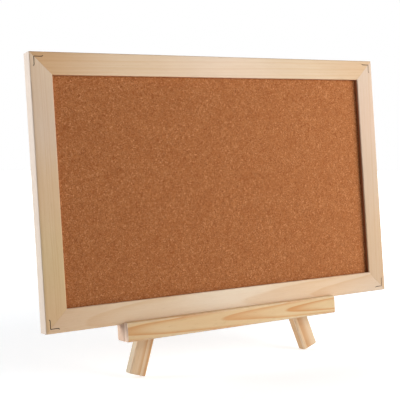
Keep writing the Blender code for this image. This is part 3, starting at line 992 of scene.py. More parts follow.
def mark_edges(made: Piece, broad: float = 0.0010) -> None:
    """Mark the points that lie only on narrow faces, as the edges that wear first."""
    builder = bmesh.new()
    builder.from_mesh(made.data)
    values = []
    for vertex in builder.verts:
        widths = []
        for face in vertex.link_faces:
            longest = max(edge.calc_length() for edge in face.edges)
            widths.append(face.calc_area() / max(longest, 1e-9))
        values.append(1.0 if max(widths, default=0.0) < broad else 0.0)
    builder.free()
    attribute = made.data.attributes.new("edge", "FLOAT", "POINT")
    attribute.data.foreach_set("value", values)


# ------------------------------------------------------------------ the framed board

FRAME_TONES = {
    Side.BOTTOM: (srgb(218, 187, 155), srgb(225, 198, 167), srgb(234, 215, 192),
                  srgb(226, 198, 167), srgb(208, 184, 160)),
    Side.LEFT: (srgb(224, 199, 173), srgb(219, 195, 172), srgb(217, 186, 150),
                srgb(213, 186, 144), srgb(216, 182, 142)),
    Side.TOP: (srgb(207, 176, 142), srgb(217, 192, 162), srgb(230, 207, 184),
               srgb(227, 201, 171), srgb(212, 172, 129)),
    Side.RIGHT: (srgb(200, 172, 143), srgb(200, 172, 142), srgb(201, 177, 154),
                 srgb(207, 181, 160), srgb(208, 187, 168)),
}
DARK_STEEL = MetalFinish(srgb(38, 34, 34), srgb(34, 24, 20), 0.62, 2.0)
ZINC_STEEL = MetalFinish(srgb(168, 164, 156), srgb(120, 112, 102), 0.34, 3.0)
BRASS = MetalFinish(srgb(206, 166, 92), srgb(142, 104, 52), 0.30, 4.0)


@dataclass
class BoardFrame:
    """The four mitred and rabbeted sides of the frame."""

    kit: Kit
    width: float = BOARD_WIDTH
    height: float = BOARD_HEIGHT
    steps: int = 6
    worn: float = 0.0012

    def section(self) -> list[Point]:
        """Outline of the wood as (distance from the outer edge, depth)."""
        wood = LAYERS
        radius = wood.rounding
        outline = arc((radius, radius), radius, 180, 270, self.steps)
        outline += arc((wood.face - radius, radius), radius, 270, 360, self.steps)
        outline += [(wood.face, wood.recess), (wood.wall, wood.recess), (wood.wall, wood.thickness)]
        outline += arc((radius, wood.thickness - radius), radius, 90, 180, self.steps)
        return outline

    def axes(self, side: Side) -> Axes:
        """Axes of one side: X along it, Y into the depth and Z inwards from its outer edge."""
        reach = (self.height if side.level else self.width) / 2
        turn = Matrix.Rotation(math.radians(side.value), 4, "Y")
        middle = Matrix.Translation((0.0, 0.0, self.height / 2))
        return Axes(middle @ turn @ Matrix.Translation((0.0, 0.0, -reach)))

    def member(self, side: Side) -> Piece:
        """Build one side.

        Args:
            side: Which side.

        Returns:
            The mitred wood in the board's axes.
        """
        half = (self.width if side.level else self.height) / 2
        builder = prism(self.section(), -half, half, Matrix.Rotation(math.radians(-90.0), 4, "Y"))
        for end in (-1, 1):
            edge = end * (half - HAIRLINE * math.sqrt(2))
            slice_off(builder, (edge, 0.0, 0.0), (end, 0.0, 1.0))
        builder.transform(self.axes(side).matrix)
        return add_object(f"{side.name.lower()}_side", builder)

    def finish(self, side: Side) -> Material:
        """Pine with its own grain for each side."""
        grains = {
            Side.TOP: PineGrain(0.0021, 0.030, 0.022, 0.020, 0.0016, 3.0),
            Side.BOTTOM: PineGrain(0.0034, -0.003, 0.024, -0.034, 0.0022, 7.0),
            Side.LEFT: PineGrain(0.0023, 0.034, 0.018, 0.012, 0.0016, 11.0),
            Side.RIGHT: PineGrain(0.0020, -0.026, 0.030, 0.020, 0.0014, 15.0),
        }
        along = BOARD @ self.axes(side).matrix
        axes = along.along((0.0, 0.0, LAYERS.face / 2), (1.0, 0.0, 0.0), (0.0, -1.0, 0.0))
        length = self.width if side.level else self.height
        contrast = 0.42 if side is Side.BOTTOM else 0.24
        # only the left side gets the painted highlight along its outer edge
        rim = LAYERS.face / 2 if side is Side.LEFT else 0.0
        # every side gets painted shade on its rabbet wall, where the recess is in shadow
        finish = PineFinish(FRAME_TONES[side], length, grains[side], contrast=contrast, fibre=0.14,
                            canal=0.10, wall=LAYERS.face / 2, rim=rim)
        return finish.material(f"pine_{side.name.lower()}_side", self.kit, axes)

    def build(self, slots: Callable[[Side], list[Piece]]) -> None:
        """Build the four sides.

        Args:
            slots: Gives the cutters that one side needs.
        """
        for side in Side:
            made = carve(self.member(side), slots(side))
            mark_edges(made, self.worn)
            hand_over(made, BOARD, self.finish(side), "board", [side.node])


@dataclass
class CornerNails:
    """The V-nails pressed across the mitres, each bent from one strip with its ends turned out."""

    kit: Kit
    inset: float = 0.0035
    leg: float = 0.0068
    hook: float = 0.0007
    thickness: float = 0.00045
    depth: float = 0.0055
    sunk: float = 0.00015
    bend: float = 0.0005
    room: float = 0.00006
    proud: float = 0.0005

    def path(self, horizontal: int, vertical: int, extra: float = 0.0) -> list[Point]:
        """Points of one nail across the board and up it.

        Args:
            horizontal: -1 for the left corner and 1 for the right.
            vertical: -1 for the lower corner and 1 for the upper.
            extra: How much longer both ends are made.

        Returns:
            The five points of the strip's middle line.
        """
        knee = self.inset + self.leg - self.hook
        tip = self.inset + self.leg + extra
        hook = self.inset - self.hook - extra
        inward = [(tip, hook), (knee, self.inset), (self.inset, self.inset), (self.inset, knee), (hook, tip)]
        points = []
        for across, up in inward:
            points.append((horizontal * (BOARD_WIDTH / 2 - across),
                           BOARD_HEIGHT / 2 + vertical * (BOARD_HEIGHT / 2 - up)))
        return points

    def strips(self, name: str, corners: Sequence[tuple[int, int]], front: float, back: float,
               thickness: float, extra: float, material: Material | None = None) -> Piece:
        """Sweep strips along the nails' paths.

        Args:
            name: The object's name.
            corners: Horizontal and vertical signs of the corners.
            front: Depth of the strips' front edge.
            back: Depth of their back edge.
            thickness: The strips' thickness.
            extra: How much longer their ends are.
            material: Their finish.

        Returns:
            The strips in the board's axes.
        """
        points, edges = [], []
        for horizontal, vertical in corners:
            path = self.path(horizontal, vertical, extra)
            edges += [(len(points) + index, len(points) + index + 1) for index in range(len(path) - 1)]
            points += [(x, y, 0.0) for x, y in path]
        mesh = bpy.data.meshes.new(name)
        mesh.from_pydata(points, edges, [])
        made = grow(link(name, mesh), strip_tree(), thickness=thickness, width=back - front, bend=self.bend,
                    material=material)
        upright = Matrix.Rotation(math.radians(90.0), 4, "X")
        made.data.transform(Matrix.Translation((0.0, (front + back) / 2, 0.0)) @ upright)
        return face_outwards(made)

    def cutters(self, side: Side) -> list[Piece]:
        """Slots in one side for the nails at its two ends."""
        corners = {Side.BOTTOM: [(-1, -1), (1, -1)], Side.TOP: [(-1, 1), (1, 1)],
                   Side.LEFT: [(-1, -1), (-1, 1)], Side.RIGHT: [(1, -1), (1, 1)]}[side]
        deep, thick = self.depth + self.room, self.thickness + 2 * self.room
        return [self.strips(f"slot_{side.name}_{index}", [corner], -self.proud, deep, thick, self.room)
                for index, corner in enumerate(corners)]

    def build(self) -> None:
        """Build the four nails as one piece."""
        material = DARK_STEEL.material("dark_nail_steel", self.kit)
        corners = [(-1, 1), (1, 1), (-1, -1), (1, -1)]
        made = self.strips("corner_nails", corners, self.sunk, self.depth, self.thickness, 0.0, material)
        nodes = [f"v_nail_{level}_{side}" for level in ("top", "bottom") for side in ("left", "right")]
        hand_over(made, BOARD, material, "board", nodes)


@dataclass
class CorkPanel:
    """The pressed cork sheet in the rabbet."""

    kit: Kit
    spacing: float = 0.00105
    relief: float = 0.00026
    granule: float = 0.0034
    seed: float = 5.0

    def build(self) -> None:
        """Build the sheet with an uneven front."""
        inset = LAYERS.wall + FIT
        half = BOARD_WIDTH / 2 - inset
        low = Vector((-half, LAYERS.cork_front, inset))
        high = Vector((half, LAYERS.cork_front + LAYERS.cork, BOARD_HEIGHT - inset))
        columns = round((high.x - low.x) / self.spacing)
        rows = round((high.z - low.z) / self.spacing)
        builder = bmesh.new()
        front_layer = builder.verts.layers.float.new("front")
        grid = []
        for row in range(rows + 1):
            z = low.z + (high.z - low.z) * row / rows
            line = []
            for column in range(columns + 1):
                vertex = builder.verts.new((low.x + (high.x - low.x) * column / columns, low.y, z))
                inner = 0 < row < rows and 0 < column < columns
                vertex[front_layer] = 1.0 if inner else 0.0
                line.append(vertex)
            grid.append(line)
        for lower, upper in zip(grid, grid[1:]):
            for column in range(columns):
                builder.faces.new((lower[column], lower[column + 1], upper[column + 1], upper[column]))
        rim = [*grid[0][:-1], *(line[-1] for line in grid[:-1]), *reversed(grid[-1][1:]),
               *(line[0] for line in reversed(grid[1:]))]
        back = [builder.verts.new((vertex.co.x, high.y, vertex.co.z)) for vertex in rim]
        for index in range(len(rim)):
            builder.faces.new((rim[index], rim[index - 1], back[index - 1], back[index]))
        builder.faces.new(back)
        bmesh.ops.recalc_face_normals(builder, faces=builder.faces)
        material = CorkFinish().material("pressed_cork", self.kit, BOARD)
        made = grow(add_object("cork_panel", builder), relief_tree(), granule=self.granule,
                    relief=self.relief, seed=self.seed, material=material)
        hand_over(made, BOARD, material, "board", ["cork_sheet"])


@dataclass
class Backing:
    """The hardboard panel behind the cork and the steel points that hold it."""

    kit: Kit
    point_width: float = 0.006
    point_length: float = 0.009
    bite: float = 0.005
    taper: float = 0.0022
    tip_share: float = 0.25
    corner: float = 0.0009
    room: float = 0.00008
    softness: float = 0.0003
    long_side: int = 3
    short_side: int = 2

    def seats(self) -> list[Seat]:
        """Place and turn of each point, at the rabbet's wall and facing inwards."""
        middle = BOARD_HEIGHT / 2
        depth = LAYERS.backing_back + FIT
        seats = []
        for side in (-1, 1):
            for number in range(self.long_side):
                x = (number - (self.long_side - 1) / 2) * BOARD_WIDTH / self.long_side
                turn = math.pi if side > 0 else 0.0
                seats.append(((x, depth, middle + side * (middle - LAYERS.wall)), (0.0, turn, 0.0)))
            for number in range(self.short_side):
                z = middle + (number - (self.short_side - 1) / 2) * BOARD_HEIGHT / self.short_side
                place = (side * (BOARD_WIDTH / 2 - LAYERS.wall), depth, z)
                seats.append((place, (0.0, -side * math.pi / 2, 0.0)))
        return seats

    def point(self, name: str, margin: float) -> Piece:
        """One point along Z, sharp at the end in the wood, or the slot that it sits in."""
        half = self.point_width / 2 + margin
        low = -self.bite - margin
        high = self.point_length - self.bite + margin
        tip, shoulder, cut = half * self.tip_share, low + self.taper, self.corner
        outline = [(-half, shoulder), (-tip, low), (tip, low), (half, shoulder),
                   (half, high - cut), (half - cut, high), (-half + cut, high), (-half, high - cut)]
        return add_object(name, prism(outline, -margin, LAYERS.point + margin, STANDING))

    def placed(self, name: str, margin: float, seats: list, material: Material | None) -> Piece:
        """Points or slots at some of the seats."""
        return repeat(name, self.point(f"{name}_pattern", margin), seats, material)

    def cutters(self, side: Side) -> list[Piece]:
        """Slots for the points driven into one side."""
        lines = {Side.BOTTOM: (2, -1), Side.TOP: (2, 1), Side.LEFT: (0, -1), Side.RIGHT: (0, 1)}
        axis, sign = lines[side]
        centre = BOARD_HEIGHT / 2 if axis == 2 else 0.0
        reach = (BOARD_HEIGHT if axis == 2 else BOARD_WIDTH) / 2 - LAYERS.wall
        seats = [seat for seat in self.seats() if abs(seat[0][axis] - centre - sign * reach) < 1e-5]
        return [self.placed(f"point_slots_{side.name}", self.room, seats, None)]

    def build(self) -> None:
        """Build the panel and its points."""
        inset = LAYERS.wall + FIT
        low = (-BOARD_WIDTH / 2 + inset, LAYERS.backing_front, inset)
        high = (BOARD_WIDTH / 2 - inset, LAYERS.backing_back, BOARD_HEIGHT - inset)
        panel = soften(add_object("hardboard_panel", box(low, high)), self.softness)
        material = HardboardFinish().material("brown_hardboard", self.kit, BOARD)
        hand_over(panel, BOARD, material, "board", ["backing_panel"])
        steel = ZINC_STEEL.material("point_steel", self.kit)
        points = self.placed("backing_points", 0.0, self.seats(), steel)
        nodes = [f"backing_point_{number:02d}" for number in range(1, len(self.seats()) + 1)]
        hand_over(points, BOARD, steel, "board", nodes)


# ------------------------------------------------------------------ screws

@dataclass(frozen=True)
class Screw:
    """A turned screw with a cross recess, its head up."""

    shank: float
    head: float
    rise: float
    length: float
    recess: float = 0.0008

    def pattern(self, name: str) -> Piece:
        """Build one screw.

        Args:
            name: The object's name.

        Returns:
            The screw with its head's underside at the origin.
        """
        dome = []
        for step in range(7):
            angle = math.pi / 2 * step / 6
            dome.append((self.head * math.sin(angle) ** 0.8, self.rise * (0.35 + 0.65 * math.cos(angle))))
        dome[0] = (0.0, self.rise)
        profile = dome + [(self.head * 0.98, 0.0), (self.shank, 0.0), (self.shank, -self.length * 0.8),
                          (0.0, -self.length)]
        made = add_object(name, turned(profile))
        tools = []
        arm, half = self.head * 0.56, self.head * 0.12
        for index, (wide, narrow) in enumerate(((arm, half), (half, arm))):
            tool = box((-wide, -narrow, self.rise - self.recess), (wide, narrow, self.rise * 1.5))
            tools.append(add_object(f"{name}_recess_{index}", tool))
        return carve(made, tools)


def place_screws(name: str, screw: Screw, seats: Sequence[Seat], material: Material,
                 seed: int) -> Piece:
    """Put screws in their seats, each turned by chance.

    Args:
        name: The object's name.
        screw: The screw.
        seats: Place and turn of each head's underside.
        material: The screws' finish.
        seed: Seed of the chance turns.

    Returns:
        The screws as one object.
    """
    return repeat(name, screw.pattern(f"{name}_pattern"), seats, material, SCREW_JITTER, seed)


def drill(name: str, screw: Screw, seats: Sequence[Seat], room: float = 0.00005) -> list[Piece]:
    """Cutters for the shanks of screws at their seats."""
    cutters = []
    radius, top, end = screw.shank + room, 0.001, -screw.length - room
    for index, (place, turn) in enumerate(seats):
        builder = turned([(0.0, top), (radius, top), (radius, end), (0.0, end)])
        tilt = Matrix.Rotation(turn[0], 4, "X")
        builder.transform(Matrix.Translation(place) @ tilt)
        cutters.append(add_object(f"{name}_{index}", builder))
    return cutters


# ------------------------------------------------------------------ the easel's front

@dataclass
class EaselFront:
    """Two front legs, the ledge that the board stands on, and the block that joins the legs' tops."""

    kit: Kit
    leg_width: float = 0.014
    leg_depth: float = 0.0085
    leg_round: float = 0.0015
    foot_round: float = 0.0012
    leg_softness: float = 0.0004
    strip_softness: float = 0.00035
    head_softness: float = 0.0008
    splay: float = math.radians(18.8)
    apex_drop: float = 0.0046
    top_drop: float = 0.0015
    foot_drop: float = 0.0438
    ledge_length: float = 0.1904
    ledge_height: float = 0.0126
    lip_thickness: float = 0.0052
    lip_rise: float = 0.0017
    strip_round: float = 0.0016
    head_height: float = 0.042
    head_thickness: float = 0.009
    head_widths: Point = (0.050, 0.026)
    head_screw_rise: float = 0.0065
    ledge_screw: Screw = Screw(0.0014, 0.0030, 0.0017, 0.0175)
    head_screw: Screw = Screw(0.0014, 0.0030, 0.0017, 0.0145)

    @property
    def apex(self) -> float:
        """Height where the legs' middle lines meet."""
        return BOARD_HEIGHT - self.apex_drop

    @property
    def leg_front(self) -> float:
        """Depth of the legs' front."""
        return LAYERS.thickness + FIT

    @property
    def leg_back(self) -> float:
        """Depth of the legs' back."""
        return self.leg_front + self.leg_depth

    @property
    def head_top(self) -> float:
        """Height of the legs' level-cut tops."""
        return self.apex - self.top_drop

    @property
    def head_back(self) -> float:
        """Depth of the head block's back."""
        return self.leg_back + FIT + self.head_thickness

    @property
    def ledge_bottom(self) -> float:
        """Height of the ledge's underside."""
        return -FIT - self.ledge_height

    def leg_length(self) -> float:
        """Length of a leg's middle line from the apex to its foot."""
        drop = self.apex + self.foot_drop - self.leg_width / 2 * math.sin(self.splay)
        return drop / math.cos(self.splay)

    def leg_axes(self, hand: Hand) -> Matrix:
        """Axes of one leg, from the apex down along -Z."""
        return Matrix.Translation((0.0, 0.0, self.apex)) @ Matrix.Rotation(-hand.value * self.splay, 4, "Y")

    def seats(self, height: float, back: float) -> list[Seat]:
        """Seats of the screws through both legs at one height."""
        across = (self.apex - height) * math.tan(self.splay)
        turn = (math.radians(-90.0), 0.0, 0.0)
        return [((hand.value * across, back, height), turn) for hand in Hand]

    def leg(self, hand: Hand) -> Piece:
        """Build a front leg, square-cut at its foot and mitred to its twin."""
        half = self.leg_width / 2
        builder = box((-half, self.leg_front, -self.leg_length()), (half, self.leg_back, 0.0))
        round_edges(builder, (0.0, 0.0, 1.0), self.leg_round)
        round_foot(builder, self.foot_round)
        builder.transform(self.leg_axes(hand))
        slice_off(builder, (hand.value * HAIRLINE, 0.0, 0.0), (-hand.value, 0.0, 0.0))
        slice_off(builder, (0.0, 0.0, self.head_top), (0.0, 0.0, 1.0))
        return soften(add_object(f"{hand.name.lower()}_leg", builder), self.leg_softness, 3)

    def add_legs(self, drills: Callable[[int], list[Piece]]) -> None:
        """Build both legs."""
        grains = {Hand.LEFT: PineGrain(0.0060, 0.0307, 0.010, 0.006, 0.0012, 21.0),
                  Hand.RIGHT: PineGrain(0.0062, -0.0275, 0.012, -0.005, 0.0012, 24.0)}
        # painted shade on each front leg's side face, tinted for how the light falls on that leg
        side_face_shades = {Hand.LEFT: (0.74, 0.84, 0.95), Hand.RIGHT: (0.74, 0.64, 0.54)}
        for index, hand in enumerate(Hand):
            made = carve(self.leg(hand), drills(index))
            mark_edges(made)
            axes = (BOARD @ self.leg_axes(hand)).along((0.0, self.leg_front, -0.15), (0.0, 0.0, 1.0),
                                                       (0.0, -1.0, 0.0))
            finish = PineFinish((srgb(222, 196, 163),) * 2, self.leg_length(), grains[hand],
                                (0.82, 0.56, 0.34), 1.0, fibre=0.2, wall=self.leg_width / 2,
                                wall_shade_tint=side_face_shades[hand])
            side = hand.name.lower()
            material = finish.material(f"pine_{side}_leg", self.kit, axes)
            hand_over(made, BOARD, material, "easel", [f"front_leg_{side}"])

    def strip(self, name: str, front: float, back: float, top: float) -> Piece:
        """Build one of the ledge's two strips."""
        half = self.ledge_length / 2
        builder = box((-half, front, self.ledge_bottom), (half, back, top))
        round_edges(builder, (1.0, 0.0, 0.0), self.strip_round)
        return soften(add_object(name, builder), self.strip_softness, 3)

    def add_ledge(self, drills: Callable[[int], list[Piece]]) -> None:
        """Build the lip and the shelf."""
        lip = self.strip("ledge_front_strip", -FIT - self.lip_thickness, -HAIRLINE, self.lip_rise)
        shelf = self.strip("ledge_rear_strip", HAIRLINE, LAYERS.thickness + FIT - HAIRLINE, -HAIRLINE)
        carve(shelf, [*drills(0), *drills(1)])
        lip_grain = PineGrain(0.0016, -0.0050, 0.0111, -0.020, 0.0012, 35.0)
        shelf_grain = PineGrain(0.0017, 0.012, 0.020, 0.010, 0.0010, 34.0)
        front = -FIT - self.lip_thickness
        tones = (srgb(230, 198, 153), srgb(225, 196, 153), srgb(211, 184, 142))
        # the lip's end tone is a painted highlight and the shelf's a painted shade, each mixed with the end
        # grain's colour
        made_of = ((lip, lip_grain, "ledge_lip", front, 1.0, srgb(240, 216, 200)),
                   (shelf, shelf_grain, "ledge_shelf", 0.0, 0.7, srgb(198, 172, 158)))
        for made, grain, node, depth, contrast, end_grain_and_light_tone in made_of:
            mark_edges(made)
            axes = BOARD.along((0.0, depth, 0.0), (1.0, 0.0, 0.0), (0.0, -1.0, 0.0))
            finish = PineFinish(tones, self.ledge_length, grain, (0.86, 0.58, 0.36), contrast, fibre=0.12,
                                end_grain_and_light_tone=end_grain_and_light_tone, end_share=0.75)
            material = finish.material(f"pine_{node}", self.kit, axes)
            hand_over(made, BOARD, material, "easel", [node])

    def add_head(self, drills: list[Piece]) -> None:
        """Build the head block, narrower at its top."""
        low, high = (width / 2 for width in self.head_widths)
        bottom = self.head_top - self.head_height
        outline = [(-low, bottom), (low, bottom), (high, self.head_top), (-high, self.head_top)]
        builder = prism(outline, self.leg_back + HAIRLINE, self.head_back, STANDING)
        made = carve(soften(add_object("top_block", builder), self.head_softness, 4), drills)
        mark_edges(made)
        axes = BOARD.along((0.0, self.head_back, bottom), (0.0, 0.0, 1.0), (0.0, 1.0, 0.0))
        grain = PineGrain(0.0026, 0.004, 0.022, 0.03, 0.0012, 41.0)
        finish = PineFinish((srgb(234, 204, 162),) * 2, self.head_height, grain, contrast=0.8)
        material = finish.material("pine_top_block", self.kit, axes)
        hand_over(made, BOARD, material, "easel", ["head_block"])

    def build(self, hinge_drills: list[Piece]) -> None:
        """Build the whole front of the easel.

        Args:
            hinge_drills: Cutters for the hinge screws that enter the head block.
        """
        ledge_height = -FIT / 2 + self.ledge_bottom / 2
        head_height = self.head_top - self.head_height + self.head_screw_rise
        ledge_seats = self.seats(ledge_height, self.leg_back + HAIRLINE)
        head_seats = self.seats(head_height, self.head_back + HAIRLINE)

        def both(index: int) -> list[Piece]:
            """Drills for one leg's two screws."""
            return [*drill("ledge_drill", self.ledge_screw, [ledge_seats[index]]),
                    *drill("head_drill", self.head_screw, [head_seats[index]])]

        self.add_legs(both)
        self.add_ledge(lambda index: drill("shelf_drill", self.ledge_screw, [ledge_seats[index]]))
        self.add_head([*drill("block_drill", self.head_screw, head_seats), *hinge_drills])
        steel = ZINC_STEEL.material("screw_steel", self.kit)
        for label, screw, seats, seed in (("ledge", self.ledge_screw, ledge_seats, 3),
                                          ("head", self.head_screw, head_seats, 8)):
            made = place_screws(f"{label}_screws", screw, seats, steel, seed)
            nodes = [f"{label}_screw_{hand.name.lower()}" for hand in Hand]
            hand_over(made, BOARD, steel, "easel", nodes)


# ------------------------------------------------------------------ hinge and rear leg

@dataclass
class Hinge:
    """A small brass butt hinge, both leaves rolled round one pin."""

    kit: Kit
    width: float = 0.0126
    leaf: float = 0.0115
    thickness: float = 0.0008
    outside: float = 0.00165
    pin_radius: float = 0.0008
    pin_proud: float = 0.0005
    gap: float = 0.0002
    screw_spacing: float = 0.0068
    screw_share: float = 0.62
    roll_end: float = -112.0
    corner: float = 0.0009
    softness: float = 0.00006
    screw: Screw = Screw(0.0007, 0.0014, 0.0004, 0.0062, 0.0002)

    def profile(self) -> list[Point]:
        """Section of a leaf and its rolled knuckle as (depth, height), for the leaf in front of the pin."""
        inner = self.outside - self.thickness
        outline = [(-self.outside, -self.leaf)]
        outline += arc((0.0, 0.0), self.outside, 180.0, self.roll_end, 28)
        outline += arc((0.0, 0.0), inner, self.roll_end, 180.0, 28)
        return outline + [(-inner, -self.leaf)]

    def knuckle(self, number: int) -> Point:
        """Ends of one of the three knuckles' places along the pin."""
        pitch = self.width / 3
        start = -self.width / 2 + number * pitch
        return start + self.gap / 2, start + pitch - self.gap / 2

    def seats(self, side: int) -> list[Seat]:
        """Seats of a leaf's two screws, whose heads look at the other leaf."""
        depth = side * (self.outside - self.thickness - 0.00003)
        height = -self.leaf * self.screw_share
        turn = (math.radians(90.0 * side), 0.0, 0.0)
        return [((hand.value * self.screw_spacing / 2, depth, height), turn) for hand in Hand]

    def make_leaf(self, name: str, side: int, own: Sequence[int]) -> Piece:
        """Build a leaf.

        Args:
            name: The object's name.
            side: -1 for the leaf in front of the pin and 1 for the one behind it.
            own: Which knuckles it has.

        Returns:
            The leaf in the pin's axes.
        """
        turn = Matrix(((0, 0, 1, 0), (-side, 0, 0, 0), (0, 1, 0, 0), (0, 0, 0, 1)))
        made = add_object(name, prism(self.profile(), -self.width / 2, self.width / 2, turn))
        reach = self.outside + 0.0003
        tools = []
        for number in {0, 1, 2} - set(own):
            start, end = self.knuckle(number)
            start -= 0.001 if number == 0 else self.gap
            end += 0.001 if number == 2 else self.gap
            notch = box((start, -reach, -reach), (end, reach, reach))
            tools.append(add_object(f"{name}_notch_{number}", notch))
        for hand in Hand:
            corner = box((-self.corner, -0.003, -self.corner), (self.corner, 0.003, self.corner))
            place = (hand.value * self.width / 2, side * self.outside, -self.leaf)
            corner.transform(Matrix.Translation(place) @ Matrix.Rotation(math.radians(45.0), 4, "Y"))
            tools.append(add_object(f"{name}_corner_{hand.name}", corner))
        tools += drill(f"{name}_drill", self.screw, self.seats(side))
        return soften(carve(made, tools), self.softness)

    def add_leaf(self, name: str, side: int, own: Sequence[int], axes: Axes, body: str, seed: int) -> None:
        """Build a leaf and its screws and hand them over."""
        brass = BRASS.material(f"brass_{name}", self.kit, axes)
        made = self.make_leaf(f"{name}_leaf", side, own)
        hand_over(made, axes, brass, body, [f"hinge_leaf_{name}"])
        screws = place_screws(f"{name}_leaf_screws", self.screw, self.seats(side), brass, seed)
        nodes = [f"hinge_leaf_{name}_screw_{hand.name.lower()}" for hand in Hand]
        hand_over(screws, axes, brass, body, nodes)

    def build(self) -> None:
        """Build both leaves, their screws and the pin."""
        self.add_leaf("fixed", -1, (0, 2), PIN, "easel", 5)
        self.add_leaf("moving", 1, (1,), SWING, "rear_leg", 6)
        end = self.width / 2 + self.pin_proud
        radius = self.pin_radius
        profile = [(0.0, -end), (radius * 0.6, -end + 0.00008), (radius, -end + 0.00035),
                   (radius, end - 0.00035), (radius * 0.6, end - 0.00008), (0.0, end)]
        builder = turned(profile)
        builder.transform(Matrix.Rotation(math.radians(90.0), 4, "Y"))
        pin = add_object("pin", builder)
        hand_over(pin, PIN, BRASS.material("brass_pin", self.kit, PIN), "easel", ["hinge_pin"])


@dataclass
class RearLeg:
    """The leg that swings back to hold the easel up."""

    kit: Kit
    width: float = 0.0136
    depth: float = 0.0085
    rounding: float = 0.0015
    softness: float = 0.0004
    above_pin: float = 0.016
    face: float = 0.002
    knuckle: float = 0.0017

    def below_pin(self) -> float:
        """Length from the pin to the foot's end, so that the foot meets the table."""
        tilt = SWING.matrix.to_3x3() @ Vector((0.0, 0.0, -1.0))
        face_drop = (SWING.matrix.to_3x3() @ Vector((0.0, self.face, 0.0))).z
        return (SWING.matrix.translation.z + face_drop) / -tilt.z

    def build(self, drills: list[Piece]) -> None:
        """Build the leg, its top bevelled to bear on the head block when it is open.

        Args:
            drills: Cutters for the hinge screws.
        """
        half = self.width / 2
        builder = box((-half, self.face, -self.below_pin()), (half, self.face + self.depth, self.above_pin))
        round_edges(builder, (0.0, 0.0, 1.0), self.rounding)
        opened = math.radians(joint("rear_leg_hinge")["range_deg"][1])
        bevel = Vector((0.0, -math.cos(opened), math.sin(opened)))
        slice_off(builder, bevel * self.knuckle, bevel)
        made = carve(soften(add_object("swing_leg", builder), self.softness, 3), drills)
        mark_edges(made)
        axes = SWING.along((0.0, self.face + self.depth, -0.1), (0.0, 0.0, 1.0), (0.0, 1.0, 0.0))
        grain = PineGrain(0.0040, 0.022, 0.014, 0.006, 0.0012, 51.0)
        finish = PineFinish((srgb(234, 202, 160),) * 2, self.below_pin(), grain, contrast=0.8)
        material = finish.material("pine_rear_leg", self.kit, axes)
        hand_over(made, SWING, material, "rear_leg", ["rear_leg"])


# ------------------------------------------------------------------ studio

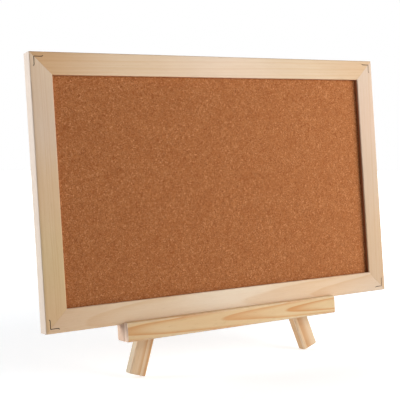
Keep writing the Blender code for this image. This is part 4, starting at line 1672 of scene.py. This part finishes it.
@dataclass
class Studio:
    """Pale floor, soft light and the camera."""

    floor_radius: float = 2.0
    floor_depth: float = 0.02
    glow_reach: Point = (0.15, 0.7)
    glow_near: float = 0.42
    glow_as_light: float = 0.06
    sky: Point = (0.05, 0.95)
    aim: Triple = (0.0, 0.0, 0.14)
    key_place: Triple = (0.64, -0.66, 0.36)
    key_power: float = 9.5
    key_size: float = 0.7
    key_colour: Colour = (1.0, 0.985, 0.96)
    side_place: Triple = (-1.3, 0.55, 0.35)
    side_power: float = 15.0
    side_size: float = 0.6
    side_colour: Colour = (1.0, 1.0, 1.0)
    camera_place: Triple = (-0.352, -0.6471, 0.2085)
    camera_turn: Triple = (90.0 - 6.37, 0.0, -29.18)
    lens: float = 78.24

    def add_floor(self) -> None:
        """A wide pale floor just under the feet."""
        rim, base = self.floor_radius, -self.floor_depth
        made = add_object("studio_floor", turned([(0.0, 0.0), (rim, 0.0), (rim, base), (0.0, base)], 96))
        material, graph, place, shader = open_material("studio_paper")
        haze = graph.noise(place, 3.0, 2.0)
        graph.feed(shader.inputs["Base Color"], graph.mix(haze, (0.87, 0.90, 0.93), (0.90, 0.93, 0.96)))
        graph.feed(shader.inputs["Roughness"], graph.math("MULTIPLY_ADD", haze, 0.1, 0.85))
        shader.inputs["Specular IOR Level"].default_value = 0.1
        away = graph.add("ShaderNodeVectorMath", {0: place}, operation="LENGTH").outputs["Value"]
        glow = graph.span(away, *self.glow_reach, self.glow_near, 1.0)
        graph.feed(shader.inputs["Emission Color"], graph.joined(glow, glow, glow))
        seen = graph.add("ShaderNodeLightPath").outputs["Is Camera Ray"]
        graph.feed(shader.inputs["Emission Strength"], graph.span(seen, 0.0, 1.0, self.glow_as_light, 1.0))
        made.data.materials.append(material)

    def add_world(self) -> None:
        """White to the eye; brighter from behind than from the front as light."""
        world = bpy.data.worlds.new("studio_world")
        bpy.context.scene.world = world
        world.use_nodes = True
        graph = Graph(world.node_tree)
        graph.tree.nodes.clear()
        across, back, _ = graph.split(graph.add("ShaderNodeTexCoord").outputs["Generated"])
        aside = graph.math("MULTIPLY_ADD", across, -0.30, back)
        light = graph.span(aside, -0.15, 0.85, *self.sky)
        seen = graph.add("ShaderNodeLightPath").outputs["Is Camera Ray"]
        strength = graph.add("ShaderNodeMix", {0: seen, 2: light, 3: 1.0}).outputs[0]
        background = graph.add("ShaderNodeBackground", {"Color": (1.0, 1.0, 1.0, 1.0), "Strength": strength})
        out = graph.add("ShaderNodeOutputWorld")
        graph.feed(out.inputs["Surface"], background.outputs[0])

    def add_light(self, name: str, place: Triple, power: float, size: float, colour: Colour) -> None:
        """A square soft light aimed at the board."""
        light = bpy.data.lights.new(name, "AREA")
        light.energy = power
        light.size = size
        light.color = colour
        made = link(name, light)
        made.location = place
        aim = Vector(self.aim) - Vector(place)
        made.rotation_euler = aim.to_track_quat("-Z", "Y").to_euler()

    def build(self) -> None:
        """Set the stage."""
        self.add_floor()
        self.add_world()
        self.add_light("key_light", self.key_place, self.key_power, self.key_size, self.key_colour)
        self.add_light("side_light", self.side_place, self.side_power, self.side_size, self.side_colour)
        camera = bpy.data.cameras.new("camera")
        camera.lens = self.lens
        camera.clip_start = 0.01
        made = link("camera", camera)
        made.location = self.camera_place
        made.rotation_euler = [math.radians(angle) for angle in self.camera_turn]
        bpy.context.scene.camera = made
        bpy.context.scene.view_settings.view_transform = "Standard"


# ------------------------------------------------------------------ assembly


def main() -> None:
    """Build every sub-assembly in order."""
    logging.basicConfig(level=logging.INFO, format="%(message)s")
    Studio().build()
    kit = Kit.build()
    nails = CornerNails(kit)
    backing = Backing(kit)
    BoardFrame(kit).build(lambda side: [*nails.cutters(side), *backing.cutters(side)])
    nails.build()
    CorkPanel(kit).build()
    backing.build()
    hinge = Hinge(kit)
    block_drills = drill("hinge_block_drill", hinge.screw, hinge.seats(-1))
    for cutter in block_drills:
        cutter.data.transform(BOARD.matrix.inverted() @ PIN.matrix)
    EaselFront(kit).build(block_drills)
    hinge.build()
    RearLeg(kit).build(drill("hinge_leg_drill", hinge.screw, hinge.seats(1)))


if __name__ == "__main__":
    main()
